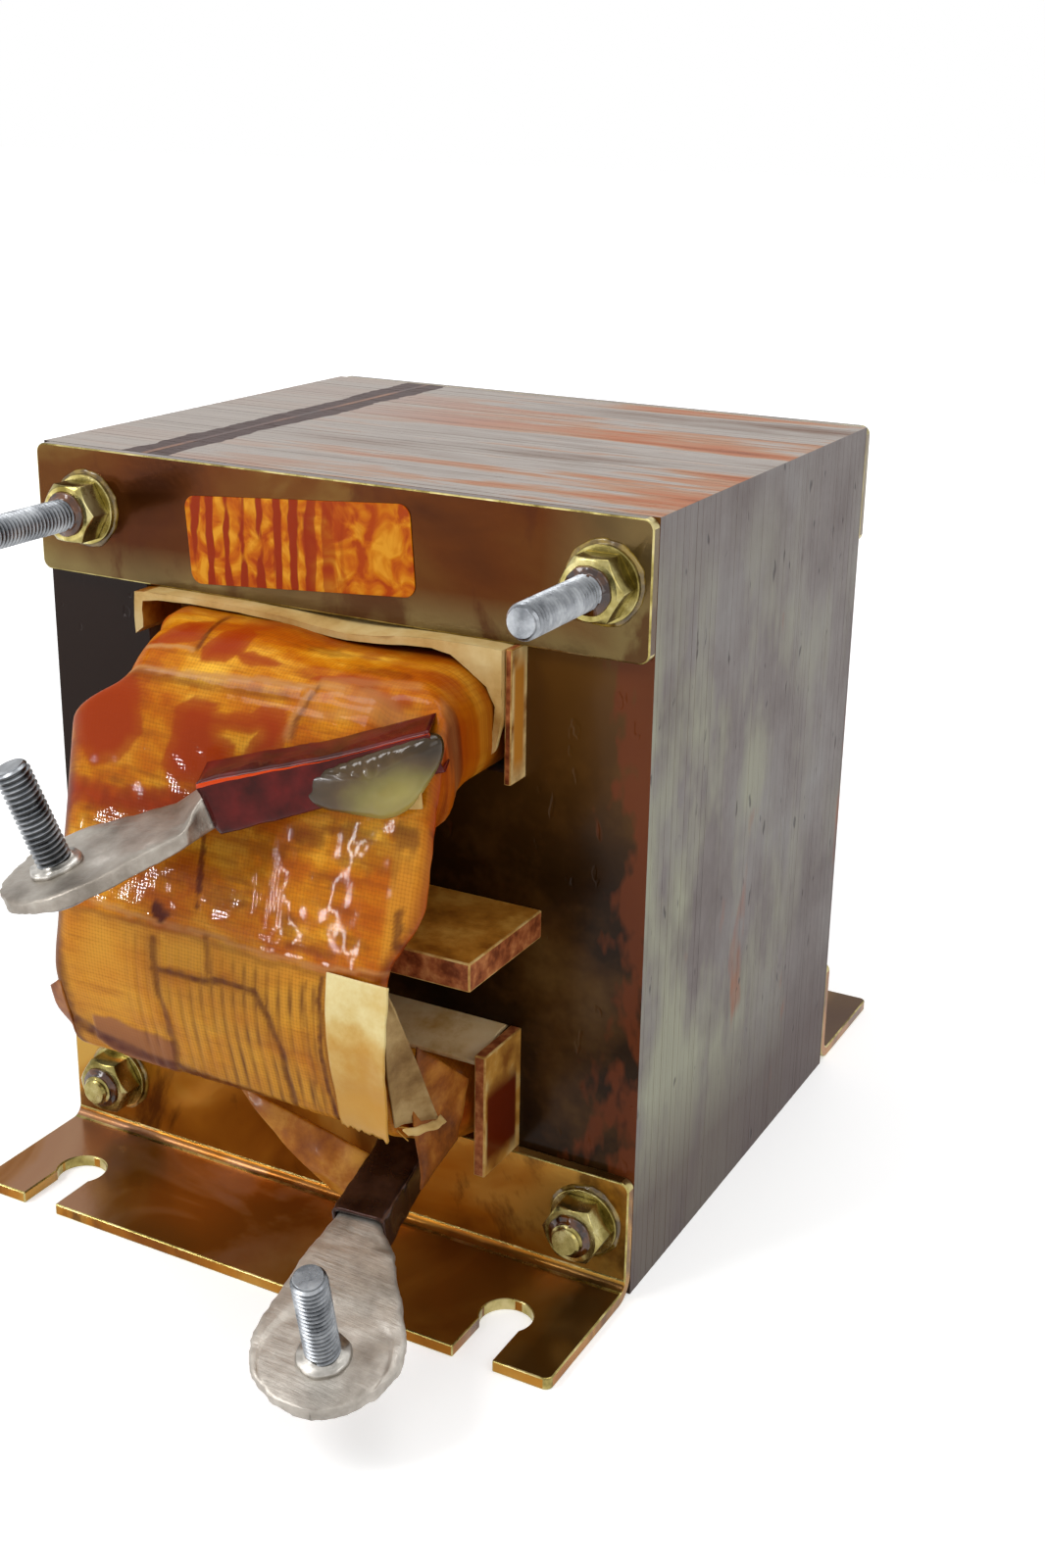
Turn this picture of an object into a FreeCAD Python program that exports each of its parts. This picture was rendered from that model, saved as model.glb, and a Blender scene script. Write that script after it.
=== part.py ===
import FreeCAD, Part
import math
import os

# A varnished single-coil iron-cored transformer with an E and an I stack of sheet steel, clamped by
# two plates at the top and two foot angles at the bottom. The coil goes round the middle leg and
# stands off both of its faces. Two sleeved copper bars lead out to flattened lugs with a stud each.
# Millimetres. X runs to the right along the coil's axis, Y to the back, Z up.
# The origin is the middle of the base, on the plane the feet stand on.

# Core
core_width = 169.0
core_depth = 134.0
core_height = 192.0
yoke_height = 32.0          # upper and lower legs of the E
spine_width = 31.2          # upright of the E, on the right
window_height = 32.0
i_bar_width = 30.5
core_air_gap = 2.0          # between the E legs and the I bar
gap_spacer_clearance = 0.2

# Clamp plates and foot angles, both as high as a yoke
sheet = 3.1
plate_corner_radius = 2.5
angle_foot_depth = 42.4     # from the core's face to the foot's free edge
angle_bend_radius = 3.0     # inside of the bend
foot_corner_radius = 2.0
slot_inset = 20.0           # middle of each foot slot, from the angle's end
slot_mouth = 10.4
slot_end_radius = 6.4
slot_end_depth = 16.4       # from the free edge to the middle of the round end

# Clamp bolts
bolt_radius = 4.0
thread_relief = 0.4         # of shanks, and of threads inside nuts and lugs, under a thread's crest
bolt_hole_clearance = 0.5
bolt_right_inset = 11.1     # from the core's sides, top and bottom
bolt_left_inset = 15.5
bolt_top_inset = 15.0
bolt_bottom_inset = 19.2
bolt_tube_wall = 1.0
bolt_tube_play = 0.2
washer_radius = 8.8
washer_thickness = 1.6
nut_across_flats = 14.0
nut_height = 6.5
nut_chamfer = 0.9
nut_crown_inset = 0.3       # of the turned-off top, inside the flats
head_height = 5.3
upper_stud_length = 38.0    # from the plate's face to the tip
lower_stud_length = 11.5
stud_tip_chamfer = 0.8

# Coil, as two outlines in the YZ plane that the rear half mirrors.
# A reach is counted out from the core's face.
coil_left_gap = 4.4         # to the I bar
coil_bottom_gap = 1.6       # to the lower yoke
shoulder_reach = 33.0       # where the outer top line would meet the front line
front_reach = 52.2
front_drop = 12.0           # of the foremost line below the middle of the middle leg
lower_reach = 37.0
shoulder_radius = 24.0
front_radius = 60.0
lower_radius = 28.0
hollow_top_gap = 0.4        # to the middle leg
hollow_upper_reach = 25.0
front_build = 15.0          # of the coil between its foremost lines
hollow_front_drop = 6.0     # below the middle of the middle leg
hollow_lower_reach = 21.0
hollow_lower_drop = 7.5     # below the top of the lower window
hollow_mouth_reach = 3.0
hollow_upper_radius = 18.0
hollow_front_radius = 40.0
hollow_lower_radius = 14.0
hollow_mouth_radius = 18.0
coil_rim_radius = 9.0       # rounding of the coil's ends outside
coil_mouth_radius = 4.4     # and towards the hollow
rounding_share = 0.98       # of the coil's wall that both roundings may take
tape_wall = 1.2
inner_winding_build = 4.6
barrier_wall = 0.8

# Window liners and boards
upper_liner_wall = 2.2      # several sheets folded together
lower_liner_wall = 1.2
liner_play = 0.1            # on each face of a liner
upper_liner_overhang = 9.0  # past the core's face
lower_liner_overhang = 15.0
liner_left_drop = 11.0
liner_curl = 4.5            # height of the coil's lower right end that the upper liner leaves bare
upper_board_thickness = 1.7
lower_board_thickness = 3.0
upper_board_overhang = 7.2
lower_board_overhang = 17.4
spacer_thickness = 7.0
spacer_right_overhang = 5.0
spacer_left_overhang = 1.0
spacer_play = 0.3

# Leads. An inset is counted in from the coil's right end, back from its foremost line, and in from
# its top or bottom. A run is along X, Y and Z.
upper_lead_width = 8.8
upper_lead_height = 8.8
lower_lead_width = 11.4
lower_lead_height = 8.0
sleeve_wall = 0.6
sleeve_play = 0.1
upper_root_inset = (4.6, 16.2, 13.8)
upper_lead_run = (-42.0, -13.0, -15.2)
upper_lug_run = (-26.4, -22.6, -12.9)
upper_stud_way = (-0.25, -0.225, 0.942)
lower_root_inset = (14.4, 33.2, 4.2)
lower_lead_run = (3.2, -28.8, -7.8)
lower_lug_run = (13.0, -34.4, -6.4)
lower_stud_way = (0.06, -0.28, 0.957)
lug_thickness = 4.2
lug_radius = 17.0
lug_stud_offset = 3.5       # from the lug's round middle towards its free end
lug_neck_run = 9.0          # over which the bar is flattened
lug_neck_width = 20.0
terminal_radius = 4.0
terminal_length = 25.0
terminal_head_radius = 7.0
terminal_head_height = 3.5
adhesive_offset = (-5.6, -6.5, -6.3)
adhesive_half_length = 15.5
adhesive_half_width = 9.2

# Label and loose insulation
label_width = 63.5
label_height = 21.5
label_shift = 6.3           # from the middle to the left
label_rise = 15.4           # of its middle above the plate's lower edge
label_turn = 4.5            # degrees, right side up
label_thickness = 0.3
label_corner_radius = 3.0
tail_inset = 2.2            # from the coil's right end
tail_width = 16.5
tail_top_rise = 0.0         # above the middle of the middle leg
tail_bottom_rise = 14.0     # above the lower yoke
tail_wall = 0.6
flap_wall = 0.5
flap_fold_inset = (1.6, 3.6, 58.4)      # counted as the lower lead's root
flap_tip_inset = (-1.3, 18.7, 21.9)
flap_heel_inset = (0.0, 6.0, 23.4)

# Worked out from the sizes above
core_right = core_width / 2
core_left = -core_width / 2
core_front = -core_depth / 2
core_back = core_depth / 2
window_right = core_right - spine_width
window_left = core_left + i_bar_width
upper_window_top = core_height - yoke_height
upper_window_bottom = upper_window_top - window_height
lower_window_bottom = yoke_height
lower_window_top = lower_window_bottom + window_height
leg_middle_z = (lower_window_top + upper_window_bottom) / 2
plate_face = core_front - sheet
hole_radius = bolt_radius + bolt_hole_clearance
tube_outer = bolt_radius + bolt_tube_play + bolt_tube_wall
core_hole_radius = tube_outer + bolt_tube_play
upper_liner_room = upper_liner_wall + 2 * liner_play
lower_liner_room = lower_liner_wall + 2 * liner_play
coil_left = window_left + coil_left_gap
coil_right = window_right - upper_board_thickness - upper_liner_room
coil_top_z = upper_window_top - upper_liner_room
coil_bottom_z = lower_window_bottom + coil_bottom_gap
coil_front_y = core_front - front_reach
hollow_top_z = upper_window_bottom + hollow_top_gap
hollow_bottom_z = lower_window_top - lower_liner_room
spacer_top_z = leg_middle_z
bolt_left_x = core_left + bolt_left_inset
bolt_right_x = core_right - bolt_right_inset
bolt_upper_z = core_height - bolt_top_inset
bolt_places = {
    "upper_left": (bolt_left_x, bolt_upper_z),
    "upper_right": (bolt_right_x, bolt_upper_z),
    "lower_left": (bolt_left_x, bolt_bottom_inset),
    "lower_right": (bolt_right_x, bolt_bottom_inset),
}

V = FreeCAD.Vector


def inset(counted, level, up):
    """A point counted in from the coil's right end, back from its foremost line and from a level."""
    return V(coil_right - counted[0], coil_front_y + counted[1], level + up * counted[2])


upper_root = inset(upper_root_inset, coil_top_z, -1)
upper_neck = upper_root + V(*upper_lead_run)
upper_foot = upper_neck + V(*upper_lug_run)
upper_lead = (upper_root, upper_neck, upper_lead_width, upper_lead_height)
lower_root = inset(lower_root_inset, coil_bottom_z, 1)
lower_neck = lower_root + V(*lower_lead_run)
lower_foot = lower_neck + V(*lower_lug_run)
lower_lead = (lower_root, lower_neck, lower_lead_width, lower_lead_height)


def box(x0, x1, y0, y1, z0, z1):
    """A block between two corners."""
    return Part.makeBox(x1 - x0, y1 - y0, z1 - z0, V(x0, y0, z0))


def rod(radius, start, way, length):
    """A round rod from a point along a direction."""
    return Part.makeCylinder(radius, length, V(*start), V(*way))


def rounded_loop(corners, radii):
    """A closed wire through the corners, each rounded by a tangent arc of its own radius.

    Where two neighbouring arcs would not fit on their side, both are made smaller.
    """
    count = len(corners)
    halves = []
    runs = []
    for i in range(count):
        before, here, after = corners[i - 1], corners[i], corners[(i + 1) % count]
        half = (before - here).getAngle(after - here) / 2
        halves.append(half)
        runs.append(radii[i] / math.tan(half))
    for i in range(count):
        side = corners[i].distanceToPoint(corners[i - 1])
        taken = runs[i] + runs[i - 1]
        if taken > side:
            runs[i] *= side / taken
            runs[i - 1] *= side / taken
    cuts = []
    for i in range(count):
        here = corners[i]
        to_before = (corners[i - 1] - here).normalize()
        to_after = (corners[(i + 1) % count] - here).normalize()
        radius = runs[i] * math.tan(halves[i])
        depth = radius / math.sin(halves[i]) - radius
        middle = here + (to_before + to_after).normalize() * depth
        cuts.append((here + to_before * runs[i], middle, here + to_after * runs[i]))
    edges = []
    for i in range(count):
        start, middle, end = cuts[i]
        if runs[i] > 0:
            edges.append(Part.Arc(start, middle, end).toShape())
        following = cuts[(i + 1) % count][0]
        if end.distanceToPoint(following) > 1e-6:
            edges.append(Part.LineSegment(end, following).toShape())
    return Part.Wire(edges)


def prism_x(wire, x0, x1):
    """The area of a wire drawn at X = 0, from x0 to x1."""
    face = Part.Face(wire)
    face.translate(V(x0, 0, 0))
    return face.extrude(V(x1 - x0, 0, 0))


def mirrored(shape):
    """The same shape on the other side of the XZ plane."""
    return shape.mirror(V(0, 0, 0), V(0, 1, 0))


def e_core_stack():
    """The E: a spine on the right with three legs towards the left."""
    leg_end = window_left + core_air_gap
    stack = box(leg_end, core_right, core_front, core_back, 0, core_height)
    for low, high in ((lower_window_bottom, lower_window_top), (upper_window_bottom, upper_window_top)):
        stack = stack.cut(box(leg_end - 1, window_right, core_front - 1, core_back + 1, low, high))
    return stack.cut(core_holes())


def i_core_stack():
    """The I: a bar that closes the open ends of the legs."""
    bar = box(core_left, window_left, core_front, core_back, 0, core_height)
    return bar.cut(core_holes())


def core_holes():
    """The four long holes that the clamp bolts run through."""
    holes = [
        rod(core_hole_radius, (x, core_front - 1, z), (0, 1, 0), core_depth + 2)
        for x, z in bolt_places.values()
    ]
    return Part.makeCompound(holes)


def air_gap_spacer():
    """Three strips of board that hold the legs off the I bar."""
    left = window_left + gap_spacer_clearance / 2
    right = window_left + core_air_gap - gap_spacer_clearance / 2
    centre_bottom = lower_window_top
    spans = ((0, yoke_height), (centre_bottom, upper_window_bottom), (upper_window_top, core_height))
    strips = [box(left, right, core_front, core_back, low, high) for low, high in spans]
    return Part.makeCompound(strips)


def clamp_plate():
    """The flat bar across the front of the upper yoke."""
    plate = box(core_left, core_right, plate_face, core_front, upper_window_top, core_height)
    corners = [e for e in plate.Edges if abs(e.tangentAt(e.FirstParameter).y) > 0.9]
    plate = plate.makeFillet(plate_corner_radius, corners)
    for name in ("upper_left", "upper_right"):
        x, z = bolt_places[name]
        plate = plate.cut(rod(hole_radius, (x, plate_face - 1, z), (0, 1, 0), sheet + 2))
    return plate


def foot_slot(x):
    """An open slot that widens to a round end."""
    free_edge = core_front - angle_foot_depth
    end_y = free_edge + slot_end_depth
    mouth = box(x - slot_mouth / 2, x + slot_mouth / 2, free_edge - 1, end_y, -1, sheet + 1)
    return mouth.fuse(rod(slot_end_radius, (x, end_y, -1), (0, 0, 1), sheet + 2))


def foot_angle():
    """The bent angle under the coil: an upright leg on the core and a slotted foot."""
    free_edge = core_front - angle_foot_depth
    corners = [
        V(0, core_front, 0), V(0, core_front, yoke_height), V(0, plate_face, yoke_height),
        V(0, plate_face, sheet), V(0, free_edge, sheet), V(0, free_edge, 0),
    ]
    radii = [angle_bend_radius + sheet, 0, 0, angle_bend_radius, 0, 0]
    angle = prism_x(rounded_loop(corners, radii), core_left, core_right)
    tips = [
        e for e in angle.Edges
        if abs(e.tangentAt(e.FirstParameter).z) > 0.9 and abs(e.CenterOfMass.y - free_edge) < 0.01
    ]
    angle = angle.makeFillet(foot_corner_radius, tips)
    tops = [
        e for e in angle.Edges
        if abs(e.tangentAt(e.FirstParameter).y) > 0.9 and abs(e.CenterOfMass.z - yoke_height) < 0.01
    ]
    angle = angle.makeFillet(plate_corner_radius, tops)
    for x in (core_left + slot_inset, core_right - slot_inset):
        angle = angle.cut(foot_slot(x))
    for name in ("lower_left", "lower_right"):
        x, z = bolt_places[name]
        angle = angle.cut(rod(hole_radius, (x, plate_face - 1, z), (0, 1, 0), sheet + 2))
    return angle


def hexagon(across_flats, height, chamfer, hole=0):
    """A hexagon along +Z from the origin, with its outer corners turned off at the top."""
    corner = across_flats / math.sqrt(3)
    points = [
        V(corner * math.cos(math.radians(60 * i)), corner * math.sin(math.radians(60 * i)), 0)
        for i in range(6)
    ]
    body = Part.Face(Part.makePolygon(points + [points[0]])).extrude(V(0, 0, height))
    top = across_flats / 2 - nut_crown_inset
    slope = (corner - top) / chamfer
    body = body.common(Part.makeCone(corner + slope * (height - chamfer), top, height))
    if hole:
        body = body.cut(Part.makeCylinder(hole, height + 2, V(0, 0, -1)))
    return body


def turned(shape, place, way):
    """A shape made along +Z, set at a place and turned to a direction."""
    copy = shape.copy()
    copy.Placement = FreeCAD.Placement(V(*place), FreeCAD.Rotation(V(0, 0, 1), V(*way)))
    return copy


def washer():
    """A plain washer along +Z."""
    disc = Part.makeCylinder(washer_radius, washer_thickness)
    return disc.cut(Part.makeCylinder(hole_radius, washer_thickness + 2, V(0, 0, -1)))


def clamp_bolt(x, z, length):
    """A bolt from its head at the back to its tip in front."""
    rear_seat = -plate_face + washer_thickness
    front_tip = plate_face - length
    nut_face = plate_face - washer_thickness - nut_height
    bare = rod(bolt_radius, (x, nut_face, z), (0, -1, 0), nut_face - front_tip)
    tip = [e for e in bare.Edges if e.Closed and abs(e.CenterOfMass.y - front_tip) < 0.01]
    bare = bare.makeChamfer(stud_tip_chamfer, tip)
    shank = rod(bolt_radius - thread_relief, (x, rear_seat, z), (0, -1, 0), rear_seat - nut_face).fuse(bare)
    head = turned(hexagon(nut_across_flats, head_height, nut_chamfer), (x, rear_seat, z), (0, 1, 0))
    return shank.fuse(head).removeSplitter()


def bolt_tube(x, z):
    """The insulating tube that keeps a bolt off the sheets."""
    outer = rod(tube_outer, (x, core_front, z), (0, 1, 0), core_depth)
    return outer.cut(rod(bolt_radius + bolt_tube_play, (x, core_front - 1, z), (0, 1, 0), core_depth + 2))


def coil_outer_wire():
    """The coil's outer outline seen from the side, front and rear alike."""
    front = [
        V(0, core_front - shoulder_reach, coil_top_z),
        V(0, coil_front_y, leg_middle_z - front_drop),
        V(0, core_front - lower_reach, coil_bottom_z),
    ]
    rear = [V(0, -p.y, p.z) for p in reversed(front)]
    radii = [shoulder_radius, front_radius, lower_radius]
    return rounded_loop(front + rear, radii + radii[::-1])


def coil_inner_wire():
    """The outline of the space inside the coil."""
    front = [
        V(0, core_front - hollow_upper_reach, hollow_top_z),
        V(0, coil_front_y + front_build, leg_middle_z - hollow_front_drop),
        V(0, core_front - hollow_lower_reach, lower_window_top - hollow_lower_drop),
        V(0, core_front - hollow_mouth_reach, hollow_bottom_z),
    ]
    rear = [V(0, -p.y, p.z) for p in reversed(front)]
    radii = [
        hollow_upper_radius, hollow_front_radius, hollow_lower_radius, hollow_mouth_radius,
    ]
    return rounded_loop(front + rear, radii + radii[::-1])


def grown(wire, distance):
    """The wire moved outwards, or inwards where the distance is negative."""
    return wire.makeOffset2D(distance)


def end_edges(shape, x0, x1):
    """The edges that lie on either end of a prism along X."""
    places = ((e, e.CenterOfMass.x) for e in shape.Edges)
    return [e for e, x in places if abs(x - x0) < 0.01 or abs(x - x1) < 0.01]


def ring(outer, inner, x0, x1, rim_radius, mouth_radius):
    """The wall between two outlines, with the two ends rounded outside and inside."""
    wall = outer.distToShape(inner)[0]
    share = min(1.0, rounding_share * wall / (rim_radius + mouth_radius))
    body = prism_x(outer, x0, x1)
    body = body.makeFillet(rim_radius * share, end_edges(body, x0, x1))
    hollow = prism_x(inner, x0, x1)
    body = body.cut(hollow)
    middles = [e.CenterOfMass for e in end_edges(hollow, x0, x1)]
    mouths = [e for e in body.Edges if any(e.CenterOfMass.isEqual(m, 0.01) for m in middles)]
    return body.makeFillet(mouth_radius * share, mouths)


def coil_pieces():
    """Tape, two layers of winding and the barrier between them, from the outside in."""
    outer, inner = coil_outer_wire(), coil_inner_wire()
    whole = ring(outer, inner, coil_left, coil_right, coil_rim_radius, coil_mouth_radius)
    block = ring(
        grown(outer, -tape_wall), grown(inner, tape_wall), coil_left + tape_wall,
        coil_right - tape_wall, coil_rim_radius - tape_wall, coil_mouth_radius - tape_wall,
    )
    first = prism_x(grown(inner, tape_wall + inner_winding_build), coil_left, coil_right)
    second = prism_x(
        grown(inner, tape_wall + inner_winding_build + barrier_wall), coil_left, coil_right
    )
    return {
        "coil_tape_wrap": whole.cut(block),
        "inner_winding": block.common(first),
        "winding_barrier": block.common(second.cut(first)),
        "outer_winding": block.cut(second),
    }


def upper_window_liner():
    """A folded sheet of board over the top and round both ends of the coil in the upper window."""
    corners = [
        V(coil_left, 0, hollow_top_z), V(coil_right, 0, hollow_top_z),
        V(coil_right, 0, coil_top_z), V(coil_left, 0, coil_top_z),
    ]
    lower, upper = coil_mouth_radius, coil_rim_radius
    bundle = rounded_loop(corners, [lower, lower, upper, upper])
    shell = Part.Face(grown(bundle, liner_play + upper_liner_wall))
    section = shell.cut(Part.Face(grown(bundle, liner_play)))
    length = core_depth + 2 * upper_liner_overhang
    liner = section.extrude(V(0, length, 0))
    liner.translate(V(0, core_front - upper_liner_overhang, 0))
    bare_left = box(core_left, 0, -length, length, 0, coil_top_z - liner_left_drop)
    bare_right = box(0, core_right, -length, length, 0, hollow_top_z + liner_curl)
    return liner.cut(bare_left).cut(bare_right)


def lower_window_liner():
    """A sheet of board over the coil in the lower window, with both free ends bent down."""
    inner = coil_inner_wire()
    band = prism_x(grown(inner, -liner_play), coil_left, coil_right)
    band = band.cut(prism_x(grown(inner, -liner_play - lower_liner_wall), coil_left - 1, coil_right + 1))
    reach = -core_front + lower_liner_overhang
    return band.common(box(coil_left, coil_right, -reach, reach, 0, lower_window_top))


def window_board(low, high, thickness, overhang):
    """An upright board against the spine, through the whole window."""
    return box(
        window_right - thickness, window_right,
        core_front - overhang, core_back + overhang, low, high,
    )


def front_spacer():
    """The thick board that wedges the front of the coil off the middle leg."""
    low = spacer_top_z - spacer_thickness
    left = coil_left - spacer_left_overhang
    right = window_right + spacer_right_overhang
    board = box(left, right, coil_front_y, core_front, low, spacer_top_z)
    hollow = prism_x(grown(coil_inner_wire(), -spacer_play), left, right)
    return board.common(hollow)


def lead_frame(start, end):
    """Unit directions along a lead, across it and out of its upper face."""
    along = (end - start).normalize()
    across = along.cross(V(0, 0, 1)).normalize()
    return along, across, across.cross(along).normalize()


def rectangle(middle, across, up, width, height):
    """A four-cornered wire about a point."""
    a, b = across * (width / 2), up * (height / 2)
    corners = [middle - a - b, middle + a - b, middle + a + b, middle - a + b]
    return Part.makePolygon(corners + [corners[0]])


def lead_bar(root, neck, width, height):
    """A straight bar from its root in the coil to its neck."""
    along, across, up = lead_frame(root, neck)
    face = Part.Face(rectangle(root, across, up, width, height))
    return face.extrude(neck - root)


def lug_outline(foot, way, neck):
    """The lug's outline on its upper face: a round end drawn out to a narrow neck."""
    normal = V(*way).normalize()
    inward = neck - foot
    inward = (inward - normal * inward.dot(normal)).normalize()
    side = normal.cross(inward)
    centre = foot + inward * lug_stud_offset
    reach = (neck - centre).dot(inward) - lug_neck_run
    half = lug_neck_width / 2
    tilt = math.atan2(half, reach) + math.acos(lug_radius / math.hypot(reach, half))
    tangents = [
        centre + (inward * math.cos(tilt) + side * (sign * math.sin(tilt))) * lug_radius
        for sign in (1, -1)
    ]
    shoulders = [centre + inward * reach + side * (sign * half) for sign in (1, -1)]
    arc = Part.Arc(tangents[0], centre - inward * lug_radius, tangents[1]).toShape()
    edges = [
        arc, Part.LineSegment(tangents[1], shoulders[1]).toShape(),
        Part.LineSegment(shoulders[1], shoulders[0]).toShape(),
        Part.LineSegment(shoulders[0], tangents[0]).toShape(),
    ]
    return Part.Wire(edges), normal, inward, side, centre + inward * reach


def lead_conductor(root, neck, width, height, foot, way):
    """The copper bar with its end flattened to a lug."""
    outline, normal, inward, side, throat = lug_outline(foot, way, neck)
    plate = Part.Face(outline).extrude(normal * -lug_thickness)
    along, across, up = lead_frame(root, neck)
    middle = throat - normal * (lug_thickness / 2)
    start = rectangle(neck, across, up, width, height)
    end = rectangle(middle, side * -1, normal, lug_neck_width, lug_thickness)
    neck_piece = Part.makeLoft([start, end], True, True)
    body = lead_bar(root, neck, width, height).fuse([neck_piece, plate]).removeSplitter()
    return body.cut(rod(terminal_radius - thread_relief, foot + normal, normal * -1, lug_thickness + 2))


def sleeve_body(root, neck, width, height):
    """The outside of a lead's sleeve as a full block."""
    grow = 2 * (sleeve_wall + sleeve_play)
    return lead_bar(root, neck, width + grow, height + grow)


def lead_sleeve(root, neck, width, height):
    """The insulating sleeve over the bar."""
    room = lead_bar(root, neck, width + 2 * sleeve_play, height + 2 * sleeve_play)
    return sleeve_body(root, neck, width, height).cut(room)


def terminal_stud(foot, way):
    """The stud through a lug, with a flat round head under it."""
    normal = V(*way).normalize()
    base = foot - normal * lug_thickness
    bare = rod(terminal_radius, foot, normal, terminal_length)
    tip = foot + normal * terminal_length
    rim = [e for e in bare.Edges if e.Closed and e.CenterOfMass.distanceToPoint(tip) < 0.01]
    bare = bare.makeChamfer(stud_tip_chamfer, rim)
    shank = rod(terminal_radius - thread_relief, base, normal, lug_thickness).fuse(bare)
    head = Part.makeCylinder(terminal_head_radius, terminal_head_height, base, normal * -1)
    return shank.fuse(head).removeSplitter()


def lead_adhesive():
    """The drop of cured adhesive that holds the upper lead to the coil."""
    along = lead_frame(upper_root, upper_neck)[0]
    long, wide = V(adhesive_half_length, 0, 0), V(0, adhesive_half_width, 0)
    outline = Part.Ellipse(long, wide, V(0, 0, 0)).toShape(0, math.pi)
    axis = Part.LineSegment(long * -1, long).toShape()
    drop = Part.Face(Part.Wire([outline, axis])).revolve(V(0, 0, 0), V(1, 0, 0), 360)
    middle = upper_root + V(*adhesive_offset)
    drop.Placement = FreeCAD.Placement(middle, FreeCAD.Rotation(V(1, 0, 0), along))
    return drop.cut(sleeve_body(*upper_lead))


def rating_label():
    """The blank label, stuck on a little askew."""
    w, h = label_width / 2, label_height / 2
    corners = [V(-w, 0, -h), V(w, 0, -h), V(w, 0, h), V(-w, 0, h)]
    face = Part.Face(rounded_loop(corners, [label_corner_radius] * 4))
    label = face.extrude(V(0, -label_thickness, 0))
    label.rotate(V(0, 0, 0), V(0, -1, 0), label_turn)
    label.translate(V(-label_shift, plate_face, upper_window_top + label_rise))
    return label


def tape_tail():
    """The pale end of the wrapping tape, down the right of the coil's front."""
    outer = coil_outer_wire()
    right = coil_right - tail_inset
    left = right - tail_width
    band = prism_x(grown(outer, tail_wall), left, right).cut(prism_x(outer, left - 1, right + 1))
    low = lower_window_bottom + tail_bottom_rise
    high = leg_middle_z + tail_top_rise
    return band.common(box(left, right, coil_front_y - tail_wall, 0, low, high))


def paper_flap():
    """A torn three-cornered flap of insulating paper at the coil's lower right end."""
    corners = (flap_fold_inset, flap_tip_inset, flap_heel_inset)
    fold, tip, heel = [inset(corner, coil_bottom_z, 1) for corner in corners]
    outward = (heel - fold).cross(tip - fold).normalize()
    return Part.Face(Part.makePolygon([fold, tip, heel, fold])).extrude(outward * flap_wall)


def one_solid(shape):
    """The single solid of a shape made by cuts."""
    solids = sorted(shape.Solids, key=lambda s: s.Volume)
    return solids[-1]


def build():
    """Every node of the object by name."""
    nodes = {
        "e_core_stack": one_solid(e_core_stack()),
        "i_core_stack": one_solid(i_core_stack()),
        "air_gap_spacer": air_gap_spacer(),
        "front_clamp_plate": clamp_plate(),
        "rear_clamp_plate": mirrored(clamp_plate()),
        "front_foot_angle": foot_angle(),
        "rear_foot_angle": mirrored(foot_angle()),
    }
    for name, (x, z) in bolt_places.items():
        length = upper_stud_length if name.startswith("upper") else lower_stud_length
        nodes[name + "_clamp_bolt"] = clamp_bolt(x, z, length)
    tubes = [bolt_tube(x, z) for x, z in bolt_places.values()]
    nodes["bolt_insulating_tubes"] = Part.makeCompound(tubes)
    nut = hexagon(nut_across_flats, nut_height, nut_chamfer, bolt_radius - thread_relief)
    nut_seat = plate_face - washer_thickness
    nuts = [turned(nut, (x, nut_seat, z), (0, -1, 0)) for x, z in bolt_places.values()]
    nodes["clamp_nuts"] = Part.makeCompound(nuts)
    front = [turned(washer(), (x, plate_face, z), (0, -1, 0)) for x, z in bolt_places.values()]
    rear = [turned(washer(), (x, -plate_face, z), (0, 1, 0)) for x, z in bolt_places.values()]
    nodes["front_washers"] = Part.makeCompound(front)
    nodes["rear_washers"] = Part.makeCompound(rear)
    nodes["rating_label"] = rating_label()

    coil = coil_pieces()
    conductors = {
        "upper_lead_conductor": lead_conductor(*upper_lead, upper_foot, upper_stud_way),
        "lower_lead_conductor": lead_conductor(*lower_lead, lower_foot, lower_stud_way),
    }
    nests = [sleeve_body(*upper_lead), sleeve_body(*lower_lead)] + list(conductors.values())
    for name, piece in coil.items():
        nodes[name] = one_solid(piece.cut(nests))
    nodes["upper_window_liner"] = upper_window_liner()
    nodes["lower_window_liner"] = lower_window_liner()
    nodes["upper_window_board"] = window_board(
        upper_window_bottom, upper_window_top, upper_board_thickness, upper_board_overhang
    )
    nodes["lower_window_board"] = window_board(
        lower_window_bottom, lower_window_top, lower_board_thickness, lower_board_overhang
    )
    nodes["front_spacer_board"] = front_spacer()
    nodes["rear_spacer_board"] = mirrored(front_spacer())

    nodes.update(conductors)
    nodes["upper_lead_sleeve"] = lead_sleeve(*upper_lead)
    nodes["lower_lead_sleeve"] = lead_sleeve(*lower_lead)
    nodes["upper_terminal_stud"] = terminal_stud(upper_foot, upper_stud_way)
    nodes["lower_terminal_stud"] = terminal_stud(lower_foot, lower_stud_way)
    coil_solid = prism_x(coil_outer_wire(), coil_left, coil_right)
    nodes["upper_lead_adhesive"] = one_solid(lead_adhesive().cut(coil_solid))
    nodes["tape_tail"] = one_solid(tape_tail().cut(sleeve_body(*lower_lead)))
    nodes["paper_flap"] = one_solid(paper_flap().cut(coil_solid).cut(nodes["tape_tail"]))
    return nodes


for node, shape in build().items():
    print(node, "solids", len(shape.Solids), "valid", shape.isValid(), "volume", round(shape.Volume))
    shape.exportStep("parts/%s.step" % node)
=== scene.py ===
"""The looks of a varnished iron-cored transformer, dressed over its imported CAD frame.

X is to the right, -Y to the front and Z up, as in the part. Shapes are made in millimetres and end in
metres, and materials, lamps and the camera are in metres throughout.
"""

import math
from collections import namedtuple
from types import SimpleNamespace

import bmesh
import bpy
import numpy as np
from mathutils import Matrix, Vector, noise

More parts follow.
